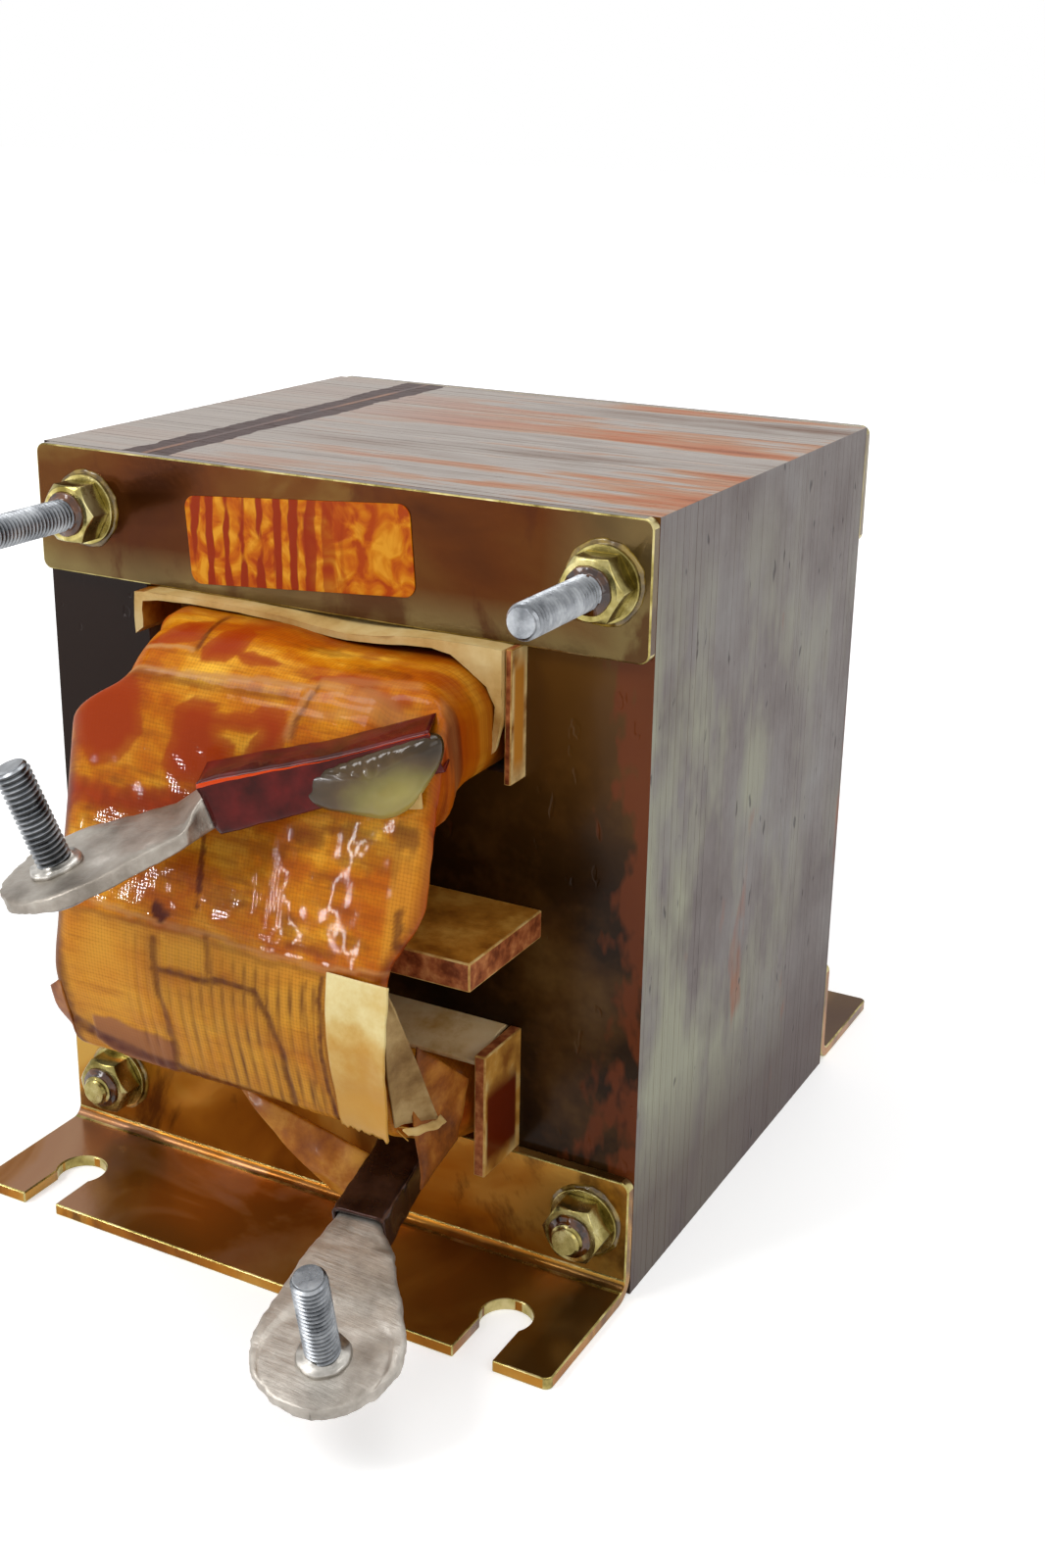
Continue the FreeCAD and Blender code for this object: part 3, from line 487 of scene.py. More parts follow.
    # The wet skin follows the weave, so its glints break up into rows of dots. It ripples at the left
    # and lies nearly flat at the right.
    ripple = put(tree, "ShaderNodeTexNoise", {"Vector": laid, "Scale": lumps(7.7, LAID_UNIT), "Detail": 1.0})
    wet = put(tree, "ShaderNodeMath", {
        0: weave.outputs["Distance"], 1: -0.04, 2: ripple.outputs["Fac"]}, operation="MULTIPLY_ADD")
    calm = put(tree, "ShaderNodeMapRange", {
        "Value": laid_parts.outputs["X"], "From Min": 0.1, "From Max": 0.2, "To Min": 0.9, "To Max": 0.12})
    wet = put(tree, "ShaderNodeMath", {0: wet.outputs[0], 1: calm.outputs[0]}, operation="MULTIPLY")
    flow = put(tree, "ShaderNodeBump", {"Strength": 0.4, "Distance": 0.0008, "Height": wet.outputs[0]})
    tree.links.new(flow.outputs[0], shader.inputs["Coat Normal"])
    return material


def board_material(name, tones, gloss, patch_size=16.7, coat=0.0, soaked=None):
    """Pressed board, paper or resin board: a soft mottle in three tones, darker where varnish soaked in,
    and fibres. Soaked gives two heights in metres and the colour that varnish drawn up from below left
    between them."""
    material, tree, shader, here = finish(name, roughness=gloss, specular_ior_level=0.12, coat_weight=coat,
                                          coat_roughness=0.08)
    mottle = put(tree, "ShaderNodeTexNoise", {
        "Vector": here, "Scale": lumps(patch_size), "Detail": 6.0, "Roughness": 0.65})
    colour = put(tree, "ShaderNodeValToRGB", {"Fac": mottle.outputs["Fac"]},
                 stops=zip((0.36, 0.5, 0.64), tones)).outputs["Color"]
    if soaked:
        top, bottom, varnished = soaked
        uneven = 0.03    # metres by which the mottle shifts the varnish line, half of it either way
        height = put(tree, "ShaderNodeSeparateXYZ", {"Vector": here})
        height = put(tree, "ShaderNodeMath", {
            0: mottle.outputs["Fac"], 1: uneven, 2: height.outputs["Z"]}, operation="MULTIPLY_ADD")
        low = put(tree, "ShaderNodeMapRange", {
            "Value": height.outputs[0], "From Min": top + uneven / 2, "From Max": bottom + uneven / 2,
            "To Max": 0.85})
        colour = put(tree, "ShaderNodeMix", {
            "Factor": low.outputs[0], "A": colour, "B": varnished}, data_type="RGBA").outputs["Result"]
    tree.links.new(colour, shader.inputs["Base Color"])
    fibre = put(tree, "ShaderNodeTexNoise", {"Vector": put(
        tree, "ShaderNodeMapping", {"Vector": here, "Scale": (0.2, 1.0, 1.0)}).outputs[0],
        "Scale": lumps(0.714), "Detail": 3.0})
    bump = put(tree, "ShaderNodeBump", {"Strength": 0.2, "Distance": 0.0002, "Height": fibre.outputs["Fac"]})
    tree.links.new(bump.outputs[0], shader.inputs["Normal"])
    return material


def window_board_material(name, rim, heart, depth, half_depth, height, half_height):
    """Resin board standing on edge in a window: a pale rim where it was rubbed, and a dark heart where
    varnish pooled on its end face, in front and at the rear alike. The heart's middle is given as its
    distance from the core's middle and its height, in metres, each with the heart's half size."""
    material, tree, shader, here = finish(name, roughness=0.3, coat_weight=0.12, coat_roughness=0.06,
                                          specular_ior_level=0.15)
    parts = put(tree, "ShaderNodeSeparateXYZ", {"Vector": here})
    mottle = put(tree, "ShaderNodeTexNoise", {"Vector": here, "Scale": lumps(9.09), "Detail": 5.0})
    away = put(tree, "ShaderNodeMath", {0: parts.outputs["Y"]}, operation="ABSOLUTE")
    away = put(tree, "ShaderNodeMath", {0: away.outputs[0], 1: depth}, operation="SUBTRACT")
    away = put(tree, "ShaderNodeMath", {0: away.outputs[0]}, operation="ABSOLUTE")
    across = put(tree, "ShaderNodeMapRange", {
        "Value": away.outputs[0], "From Min": half_depth + 0.0004, "From Max": half_depth - 0.0006})
    away = put(tree, "ShaderNodeMath", {0: parts.outputs["Z"], 1: height}, operation="SUBTRACT")
    away = put(tree, "ShaderNodeMath", {0: away.outputs[0]}, operation="ABSOLUTE")
    along = put(tree, "ShaderNodeMapRange", {
        "Value": away.outputs[0], "From Min": half_height + 0.001, "From Max": half_height - 0.004})
    pooled = put(tree, "ShaderNodeMath", {0: across.outputs[0], 1: along.outputs[0]}, operation="MULTIPLY")
    edge = put(tree, "ShaderNodeValToRGB", {"Fac": mottle.outputs["Fac"]}, stops=[
        (0.32, "#8a5420"), (0.5, rim), (0.68, "#dcc080")])
    colour = put(tree, "ShaderNodeMix", {
        "Factor": pooled.outputs[0], "A": edge.outputs["Color"], "B": heart}, data_type="RGBA")
    tree.links.new(colour.outputs["Result"], shader.inputs["Base Color"])
    return material


def sleeve_material(name, body, light, line):
    """Varnished sleeving: very glossy, with a painted highlight streak, bright as if lit through, along its
    upper front edge. Its map runs once round the sleeve in X and along it in Y."""
    material, tree, shader, here = finish(name, roughness=0.25, coat_weight=0.25, coat_roughness=0.04,
                                          specular_ior_level=0.3, specular_tint="#c05030")
    laid = put(tree, "ShaderNodeSeparateXYZ", {"Vector": put(
        tree, "ShaderNodeUVMap", uv_map="laid").outputs["UV"]})
    flow = put(tree, "ShaderNodeTexNoise", {"Vector": here, "Scale": lumps(6.67), "Detail": 4.0})
    colour = put(tree, "ShaderNodeValToRGB", {"Fac": flow.outputs["Fac"]}, stops=[(0.35, body), (0.7, light)])
    where = put(tree, "ShaderNodeMath", {0: flow.outputs["Fac"], 1: 0.05, 2: laid.outputs["X"]},
                operation="MULTIPLY_ADD")
    breadth = put(tree, "ShaderNodeMapRange", {
        "Value": laid.outputs["Y"], "From Min": 0.2, "From Max": 0.48, "To Min": 0.004, "To Max": 0.034})
    # The painted highlight: a bright streak along the upper front edge, wider towards the neck.
    streak = put(tree, "ShaderNodeMath", {
        0: where.outputs[0], 1: 0.425, 2: breadth.outputs[0]}, operation="COMPARE")
    lit = put(tree, "ShaderNodeMix", {
        "Factor": streak.outputs[0], "A": colour.outputs["Color"], "B": line}, data_type="RGBA")
    tree.links.new(lit.outputs["Result"], shader.inputs["Base Color"])
    bump = put(tree, "ShaderNodeBump", {"Strength": 0.35, "Distance": 0.0006, "Height": flow.outputs["Fac"]})
    tree.links.new(bump.outputs[0], shader.inputs["Normal"])
    return material


def adhesive_material():
    """Cured clear adhesive gone cloudy: grey over the sleeve, greenish yellow where it is thick. It
    lets light in and has a smooth wet skin."""
    material, tree, shader, here = finish(
        "cloudy_cured_adhesive", roughness=0.12, ior=1.45, specular_ior_level=0.35, subsurface_weight=0.35,
        subsurface_radius=(0.004, 0.0035, 0.0015), transmission_weight=0.3)
    parts = put(tree, "ShaderNodeSeparateXYZ", {"Vector": here})
    cloud = put(tree, "ShaderNodeTexNoise", {"Vector": here, "Scale": lumps(8.33), "Detail": 3.0})
    near_root = put(tree, "ShaderNodeMapRange", {
        "Value": parts.outputs["X"], "From Min": 0.026, "From Max": 0.052})
    sunk = put(tree, "ShaderNodeMapRange", {
        "Value": parts.outputs["Z"], "From Min": 0.146, "From Max": 0.136})
    mixed = put(tree, "ShaderNodeMath", {0: near_root.outputs[0], 1: sunk.outputs[0]}, operation="MULTIPLY")
    mixed = put(tree, "ShaderNodeMath", {
        0: cloud.outputs["Fac"], 1: 0.4, 2: mixed.outputs[0]}, operation="MULTIPLY_ADD")
    colour = put(tree, "ShaderNodeValToRGB", {"Fac": mixed.outputs[0]}, stops=[
        (0.2, "#46341a"), (0.42, "#6a5230"), (0.7, "#9a8c48"), (1.0, "#bcae62")])
    tree.links.new(colour.outputs["Color"], shader.inputs["Base Color"])
    return material


def label_material():
    """A blank paper label soaked in varnish: bright orange with red upright runs at the left."""
    material, tree, shader, here = finish("varnish_soaked_paper", roughness=0.3, coat_weight=0.05,
                                          coat_roughness=0.05, specular_ior_level=0.05)
    parts = put(tree, "ShaderNodeSeparateXYZ", {"Vector": here})
    bands = put(tree, "ShaderNodeTexNoise", {"Vector": put(
        tree, "ShaderNodeMapping", {"Vector": here, "Scale": (1.0, 1.0, 0.25)}).outputs[0],
        "Scale": lumps(5.88), "Detail": 3.0, "Distortion": 0.8})
    mottle = put(tree, "ShaderNodeTexNoise", {
        "Vector": here, "Scale": lumps(6.25), "Detail": 4.0, "Distortion": 1.0})
    plain = put(tree, "ShaderNodeValToRGB", {"Fac": mottle.outputs["Fac"]}, stops=[
        (0.38, "#ac4000"), (0.48, "#c46200"), (0.56, "#d07c08"), (0.66, "#e29c24")])
    reach = put(tree, "ShaderNodeMapRange", {
        "Value": parts.outputs["X"], "From Min": 0.012, "From Max": -0.004})
    # A wave texture's bands stand pi / 10 units apart at a Scale of 1, and the runs 4.8 mm apart.
    wave = put(tree, "ShaderNodeTexWave", {
        "Vector": here, "Scale": lumps(4.76, 100 * math.pi), "Distortion": 2.5, "Detail": 2.0,
        "Detail Scale": 1.5}, wave_type="BANDS", bands_direction="X")
    run = put(tree, "ShaderNodeMath", {0: wave.outputs["Fac"], 1: 0.3, 2: bands.outputs["Fac"]},
              operation="MULTIPLY_ADD")
    run = put(tree, "ShaderNodeMapRange", {"Value": run.outputs[0], "From Min": 0.66, "From Max": 0.74})
    run = put(tree, "ShaderNodeMath", {0: run.outputs[0], 1: reach.outputs[0]}, operation="MULTIPLY")
    colour = put(tree, "ShaderNodeMix", {
        "Factor": run.outputs[0], "A": plain.outputs["Color"], "B": "#962c00"}, data_type="RGBA")
    tree.links.new(colour.outputs["Result"], shader.inputs["Base Color"])
    bump = put(tree, "ShaderNodeBump", {"Strength": 0.4, "Distance": 0.0004, "Height": mottle.outputs["Fac"]})
    tree.links.new(bump.outputs[0], shader.inputs["Normal"])
    return material


def varnish_material(name, dark, light):
    """Varnish that gathered and dried as a thick bead: deep, clear and very glossy."""
    material, tree, shader, here = finish(name, roughness=0.15, coat_weight=0.4, coat_roughness=0.05)
    tone = put(tree, "ShaderNodeTexNoise", {"Vector": here, "Scale": lumps(3.85), "Detail": 3.0})
    colour = put(tree, "ShaderNodeValToRGB", {"Fac": tone.outputs["Fac"]}, stops=[
        (0.4, dark), (0.6, light)])
    tree.links.new(colour.outputs["Color"], shader.inputs["Base Color"])
    return material


def floor_material():
    """Matte white paper. It shows a little brighter to the eye and in reflections, more so far off, where
    the lamps don't reach, and keeps the shadow."""
    material, tree, shader, here = finish("white_paper_floor", base_color="#efefef", roughness=0.9,
                                          specular_ior_level=0.0, emission_color="#ffffff")
    far = put(tree, "ShaderNodeVectorMath", {0: here}, operation="LENGTH")
    far = put(tree, "ShaderNodeMapRange", {
        "Value": far.outputs["Value"], "From Min": 0.4, "From Max": 1.6, "To Min": 0.45, "To Max": 1.0})
    lift = put(tree, "ShaderNodeMath", {0: seen_directly(tree), 1: far.outputs[0]}, operation="MULTIPLY")
    tree.links.new(lift.outputs[0], shader.inputs["Emission Strength"])
    return material


# The coil

# The coil's outline seen from the side, as (y, z) in millimetres, and the rounding of each corner.
OUTER_CORNERS = ((-100.0, 157.6), (-119.2, 84.0), (-110.5, 53.5), (-76.0, 33.6))
OUTER_RADII = (24.0, 60.0, 6.0, 12.0)
INNER_CORNERS = ((-92.0, 128.4), (-104.2, 90.0), (-88.0, 56.5), (-70.0, 62.6))
INNER_RADII = (18.0, 40.0, 14.0, 18.0)
COIL_LEFT, COIL_RIGHT = -49.6, 49.2
WIRE_PITCH = 3.1    # of the wires whose ridges show through the tape

# Marks on the tape, as (x, s) in millimetres: across the coil, and along the tape from its top middle.
# Outlines of the pools where the varnish lies thick, and of the gaps in them.
POOLS = (
    ((-32, 104), (-28, 107), (-25.5, 113), (-25.3, 117), (-28, 121), (-32, 124.5), (-39, 127), (-44, 122),
     (-48, 115), (-44, 109), (-37, 105.5)),
    ((-17.7, 109), (-13, 105.5), (-6, 107.4), (-5, 108.6), (2, 107.5), (6, 105), (11.5, 105), (14.6, 109),
     (12.3, 116), (-6, 125), (-16.4, 126.5), (-19.4, 122), (-17.6, 117), (-17.3, 111.6)),
    ((-33, 96), (-30.4, 92), (-26.6, 85), (-20.5, 83), (-18.5, 91), (-21, 93.2), (-26, 94.3)),
    ((-17, 93.6), (-15.5, 88), (-12.3, 82), (-7, 85.7), (-5.2, 93), (-8.5, 96.8), (-15.4, 97.3)),
    ((-7.3, 94), (-3, 91.9), (6, 94), (5, 96), (-3, 97)),
    ((16, 95), (28.5, 93.4), (32, 94.7), (24, 97.6), (13.5, 97.5)),
    ((30, 98), (38, 96), (43, 97.6), (38, 99.5)),
    ((-48, 128), (-30, 130), (-14, 127), (-8, 131), (-16, 137), (-40, 136), (-49, 139)),
)
CLEARINGS = (
    ((-5.4, 113.2), (6, 111.3), (2.6, 115), (2, 118.5), (0.6, 118.2), (0.6, 114.6)),
)
# Places where clear amber varnish and where a rubbed fold cover the wires' stripes.
AMBER_PATCH = ((-14.7, 160.5), (-12.1, 162.5), (-1.7, 162.2), (-1.9, 168), (-14.6, 169.6))
WORN_PATCH = ((-39, 189.6), (-32.8, 188.3), (-23.6, 190.3), (-14.8, 191), (-16.8, 205), (-28.7, 205),
              (-40, 198))
# Brown stains that soaked into the weave: middle, half width, half length and strength.
STAINS = (
    (34, 129, 9, 3, 0.55), (47, 127, 5, 4, 0.6), (22, 132, 8, 2.5, 0.45), (-5, 145, 1.2, 11, 0.85),
    (-15, 156.4, 2.8, 2.8, 0.95), (12, 137, 6, 3, 0.4), (30, 140, 8, 2, 0.3), (20, 152, 3, 4, 0.4),
    (36, 152, 6, 2, 0.35), (2, 150, 8, 3, 0.3), (26, 156, 9, 1.5, 0.45), (47.5, 146, 1.6, 7, 0.7),
    (30, 90, 10, 2.5, 0.3), (12, 84, 9, 3, 0.3), (-12, 138, 36, 14, 0.3), (38, 132, 14, 6, 0.35),
)
# Seams and edges of the tape: points, half width, darkness. The pale ones stand out a little.
SEAMS = (
    (((-32, 103.8), (-13, 103), (10, 102.6)), 0.9, 0.4),
    (((-20, 79), (-18, 94)), 0.6, 0.7),
    (((-47, 159), (-41, 161), (-16, 160), (12, 161.5), (31, 161), (49, 158.5)), 0.7, 0.4),
    (((-17.2, 171.2), (-7, 170.9), (2, 169.7), (12, 169.5), (15.5, 175), (17.5, 185), (17.8, 203)), 0.9, 0.8),
    (((-16.8, 163), (-16.6, 172), (-15.4, 181), (-14.8, 191), (-16, 203)), 0.9, 0.7),
    (((-1.4, 160), (-1.2, 168)), 0.7, 0.6),
    (((29.6, 162), (28.6, 190), (29.4, 203)), 0.6, 0.85),
    (((25.6, 164), (25.0, 203)), 0.5, 0.45),
    (((17.5, 99), (15.2, 110.5)), 0.5, 0.6),
    (((-48, 192), (-40, 196.4), (-29, 198.8), (-16, 200), (20, 204)), 2.0, 0.85),
)
PALE_SEAMS = (
    (((-33, 102.4), (-14.5, 101.4), (10, 99.6), (24, 98.4)), 0.8, 0.8),
    (((-32, 95.6), (-19, 94.6)), 0.6, 0.8),
    (((16, 101), (14, 110.8)), 1.3, 0.5),
    (((18, 97), (40, 93)), 1.4, 0.35),
    (((20, 105), (38, 100)), 1.2, 0.4),
    (((-47, 157.4), (-16, 158.6), (12, 159.8), (31, 159.4), (49, 157)), 0.6, 0.6),
)


def rounded_front(corners, radii, top, bottom):
    """The front half of an outline from its top middle to its bottom middle, with rounded corners."""
    points = [Vector((0.0, top))] + [Vector(c) for c in corners] + [Vector((0.0, bottom))]
    path = [points[0]]
    for before, here, after, radius in zip(points, points[1:], points[2:], radii):
        to_before, to_after = (before - here).normalized(), (after - here).normalized()
        half = to_before.angle(to_after) / 2
        run = radius / math.tan(half)
        centre = here + (to_before + to_after).normalized() * (radius / math.sin(half))
        start, end = here + to_before * run - centre, here + to_after * run - centre
        turn = start.angle_signed(end)
        for step in range(13):
            path.append(centre + Matrix.Rotation(-turn * step / 12, 2) @ start)
    return path + [points[-1]]


def measured(path):
    """Distances along a path."""
    lengths = [0.0]
    for a, b in zip(path, path[1:]):
        lengths.append(lengths[-1] + (b - a).length)
    return lengths


OUTER = rounded_front(OUTER_CORNERS, OUTER_RADII, OUTER_CORNERS[0][1], OUTER_CORNERS[-1][1])
INNER = rounded_front(INNER_CORNERS, INNER_RADII, INNER_CORNERS[0][1], INNER_CORNERS[-1][1])
OUTER_RUN, INNER_RUN = measured(OUTER), measured(INNER)


def at(path, lengths, distance):
    """The point at a distance along a path."""
    for i in range(1, len(path)):
        if distance <= lengths[i] or i == len(path) - 1:
            share = (distance - lengths[i - 1]) / max(1e-9, lengths[i] - lengths[i - 1])
            return path[i - 1].lerp(path[i], min(1.0, max(0.0, share)))


def nearest(path, lengths, target):
    """The distance along a path of its point nearest to a target."""
    return min(zip(path, lengths), key=lambda pair: (pair[0] - Vector(target)).length)[1]


def on_coil(x, s, lift=0.0):
    """A place on the tape's surface, or lifted off it."""
    here, ahead = at(OUTER, OUTER_RUN, s), at(OUTER, OUTER_RUN, s + 0.5)
    along = (ahead - here).normalized()
    return Vector((x, here.x + along.y * lift, here.y - along.x * lift))


def coil_stations():
    """Pairs of inner and outer points round the coil, each with its distance along the tape."""
    keys = [(0.0, 0.0)]
    for outer_key, inner_key in (
        ((-67.0, 157.6), (-67.0, 128.4)), ((-95.0, 150.0), (-89.0, 124.0)), ((-117.0, 86.0), (-102.5, 90.0)),
        ((-109.5, 53.0), (-92.0, 62.0)), ((-80.0, 37.0), (-75.0, 60.5)), ((-60.0, 33.6), (-60.0, 62.6)),
    ):
        keys.append((nearest(OUTER, OUTER_RUN, outer_key), nearest(INNER, INNER_RUN, inner_key)))
    keys.append((OUTER_RUN[-1], INNER_RUN[-1]))
    stations = []
    for (o0, i0), (o1, i1), steps in zip(keys, keys[1:], (14, 30, 78, 48, 22, 10, 12)):
        for step in range(steps):
            t = step / steps
            run = o0 + (o1 - o0) * t
            stations.append((at(INNER, INNER_RUN, i0 + (i1 - i0) * t), at(OUTER, OUTER_RUN, run), run))
    stations.append((INNER[-1], OUTER[-1], OUTER_RUN[-1]))
    return stations


def near_line(x, s, points):
    """Distances of many places from a line through a few points."""
    best = np.full(len(x), 1e9)
    for (x0, s0), (x1, s1) in zip(points, points[1:]):
        dx, ds = x1 - x0, s1 - s0
        t = np.clip(((x - x0) * dx + (s - s0) * ds) / (dx * dx + ds * ds), 0, 1)
        best = np.minimum(best, np.hypot(x - x0 - t * dx, s - s0 - t * ds))
    return best


def eased(low, high, values):
    """The same as smooth, for many values."""
    t = np.clip((values - low) / (high - low), 0, 1)
    return t * t * (3 - 2 * t)


def wire_ridges(x, s):
    """1 along each wire under the tape and near 0 between the wires, which lean a little."""
    return (0.5 + 0.5 * np.cos(2 * math.pi * (x + 0.03 * (s - 160)) / WIRE_PITCH)) ** 3


def many_rough(x, s, seed, size):
    """Smooth noise at many places of the tape."""
    return np.array([noise.noise(Vector((a / size, b / size, seed))) for a, b in zip(x, s)])


def within(x, s, outline):
    """How far many places lie inside an outline, or outside it as negative distances."""
    inside = np.zeros(len(x), bool)
    for (x0, s0), (x1, s1) in zip(outline, outline[1:] + outline[:1]):
        crossed = (s0 > s) != (s1 > s)
        inside ^= crossed & (x < (x1 - x0) * (s - s0) / (s1 - s0 + 1e-9) + x0)
    away = near_line(x, s, outline + outline[:1])
    return np.where(inside, away, -away)


def varnish_marks(x, s, end):
    """What lies on the tape at many places: thick varnish, dark seams and stains, painted shade under the
    liner's edge, pale tape and worn folds. End is the share of the coil's right end face at each place,
    where the tape is bunched and soaked."""
    wave, fine = many_rough(x, s, 1.3, 7.0), many_rough(x, s, 5.1, 2.2)
    wx, ws = x + 0.9 * wave + 0.35 * fine, s + 0.9 * many_rough(x, s, 8.7, 6.0) + 0.35 * fine
    pool = np.full(len(x), -50.0)    # millimetres inside the nearest pool
    for outline in POOLS:
        pool = np.maximum(pool, within(wx, ws, outline))
    for outline in CLEARINGS:
        pool = np.minimum(pool, -within(wx, ws, outline))
    thick = eased(-0.3, 0.5, pool) * (0.75 + 0.25 * eased(0, 4, pool))
    thick = np.maximum(thick, 0.55 * eased(0.1, 0.35, many_rough(x * 0.7, s, 6.6, 6.0)) * eased(100, 90, s))
    dark = np.zeros(len(x))
    for cx, cs, rx, rs, strength in STAINS:
        spot = 1 - np.hypot((x - cx) / rx, (s - cs) / rs) + 0.5 * fine
        dark = np.maximum(dark, strength * eased(0.0, 0.5, spot))
    for points, half, strength in SEAMS:
        away = near_line(wx, ws, points)
        dark = np.maximum(dark, 1.1 * strength * eased(half * 1.8, half * 0.5, away) * (0.88 + 0.25 * fine))
        dark = np.maximum(dark, 0.3 * strength * eased(half * 5, 0, away))
    worn = np.zeros(len(x))
    for points, half, strength in PALE_SEAMS:
        worn = np.maximum(worn, strength * eased(half * 1.5, half * 0.4, near_line(wx, ws, points)))
    worn = np.maximum(worn, 0.85 * eased(-0.3, 0.6, within(wx, ws, WORN_PATCH)))
    scuffed = eased(-0.1, 0.3, wave) * eased(12, 22, x) * eased(92, 97, s) * eased(106, 102, s)
    worn = np.maximum(worn, 0.45 * scuffed)
    few = eased(-27, -23, x) * (0.5 + 0.5 * eased(-14, 2, x))
    striped = eased(161, 166, s) * few * (0.8 + wave)
    dark = np.maximum(dark, 0.62 * wire_ridges(x, s) * striped)
    pale = eased(159.5, 161, ws) * (0.75 + 0.5 * wave)
    pale = np.maximum(pale, 0.6 * eased(43.5, 45, x) * eased(122, 128, s) * eased(158, 154, s))
    amber = eased(-0.3, 0.4, within(wx, ws, AMBER_PATCH))
    pale, dark = np.maximum(pale, amber), dark * (1 - 0.8 * amber)
    dark = np.maximum(dark, 0.8 * eased(-42.5, -46.5, x + fine) * eased(106, 140, s))
    # Painted shade: the tape darkens where it runs in under the liner's front edge.
    dark = np.maximum(dark, 0.9 * eased(77.5, 73.5, s))
    thick = np.maximum(thick, end * (0.8 + 0.3 * wave))
    dark = np.maximum(dark, end * eased(0.0, 0.5, fine + wave - 0.1) * 0.6)
    return np.stack([thick, dark, pale, worn], axis=1).clip(0, 1)


def tape_relief(x, s, depth, end):
    """How far the wrap's surface stands out or in: steps at laps, ridges of the wires, wrinkles."""
    relief = -0.35 + 0.35 * many_rough(x, s, 3.0, 22.0) + 0.06 * many_rough(x, s, 4.0, 4.0)
    relief += 0.35 * eased(103.8, 103.0, s + 0.03 * x) * (s > 60) + 0.35 * eased(161.4, 160.6, s)
    ridged = eased(161, 168, s) * eased(-27, -23, x)
    relief -= 0.16 * ridged * wire_ridges(x, s)
    # Wrinkles at the upper right, a dent under the lead, the bulge beside it and a hollow over the nose.
    folds = eased(88, 96, s) * eased(116, 108, s) * eased(8, 20, x)
    relief += 0.35 * folds * many_rough(x * 0.35, s * 1.6, 8.0, 3.0)
    for points, half, strength in SEAMS:
        relief -= 0.2 * strength * eased(half * 1.3, 0.0, near_line(x, s, points))
    for points, half, strength in PALE_SEAMS:
        relief += 0.25 * strength * eased(half * 1.6, 0.0, near_line(x, s, points))
    relief -= 3.2 * np.exp(-((x - 41) / 6) ** 4 - ((s - 104) / 5.5) ** 4)
    relief += 0.8 * np.exp(-((x - 49.5) / 2.5) ** 2 - ((s - 106) / 9) ** 2)
    relief += 0.35 * eased(-0.2, 0.5, within(x, s, WORN_PATCH))
    relief -= 2.4 * eased(-8, 14, x) * eased(45, 66, s) * eased(100, 80, s)
    relief += 0.5 * end * many_rough(x * 0.5, s, 11.0, 4.0)
    return relief * depth


def coil_section(wall, s):
    """The coil's section at a distance along the tape, where its wall is so thick: places as (x, out from
    the hollow, share of the right end face), once round from the lower left. The left shoulder is loose
    and narrow on top, and the right end is a fold."""
    front = abs(s)
    loose = smooth(114, 101, front)
    left = COIL_LEFT + (9 + 5 * smooth(78, 88, front)) * loose * smooth(50, 62, front)
    right = COIL_RIGHT + 3.0 * smooth(90, 106, front) * smooth(158, 138, front)
    right -= 4.2 * smooth(142, 162, front) * smooth(235, 212, front)
    tight = 5 * smooth(165, 182, front) * smooth(215, 206, front)
    left_x = left_n = 9 - 2 * loose - tight
    low_left_x = low_left_n = 4.0
    folded = smooth(84, 104, front) * smooth(240, 215, front)
    right_x, right_n = 12.5 - 10 * folded, 13 - 10.5 * folded
    turned = smooth(98, 118, front) * folded
    mouth_x = 8.2 - 2.2 * folded + 8 * turned
    mouth_n = 9.7 + (wall - right_n - 0.5 - 9.7) * folded
    # Where the wall is thin, the roundings of either end share it.
    left_share = min(1.0, 0.97 * wall / (left_n + low_left_n))
    right_share = min(1.0, 0.97 * wall / (right_n + mouth_n))
    left_n, low_left_n = left_n * left_share, low_left_n * left_share
    right_n, mouth_n = right_n * right_share, mouth_n * right_share
    path = []

    def arc(cx, cn, rx, rn, start, count=9, ends=(0, 0), flat=0.0):
        """A quarter of an oval, which becomes a straight bevel as flat grows to 1."""
        for k in range(count):
            t = (k + 0.5) / count
            angle = start + math.pi / 2 * t
            c, n = math.cos(angle), math.sin(angle)
            c += (math.cos(start) * (1 - t) + math.cos(start + math.pi / 2) * t - c) * flat
            n += (math.sin(start) * (1 - t) + math.sin(start + math.pi / 2) * t - n) * flat
            path.append((cx + rx * c, cn + rn * n, ends[0] + (ends[1] - ends[0]) * t))

    def run(x0, n0, x1, n1, count, end=0):
        """A straight stretch."""
        for k in range(count):
            t = k / (count - 1)
            path.append((x0 + (x1 - x0) * t, n0 + (n1 - n0) * t, end))

    run(left + low_left_x, 0, right - mouth_x, 0, 20)
    arc(right - mouth_x, mouth_n, mouth_x, mouth_n, -math.pi / 2, 9, (0.3, 1), turned)
    run(right, mouth_n, right, wall - right_n, 5, 1)
    arc(right - right_x, wall - right_n, right_x, right_n, 0.0, 12, (1, 0))
    run(right - right_x, wall, left + left_x, wall, 150)
    arc(left + left_x, wall - left_n, left_x, left_n, math.pi / 2, 12)
    run(left, wall - left_n, left, low_left_n, 5)
    arc(left + low_left_x, low_left_n, low_left_x, low_left_n, math.pi)
    return path


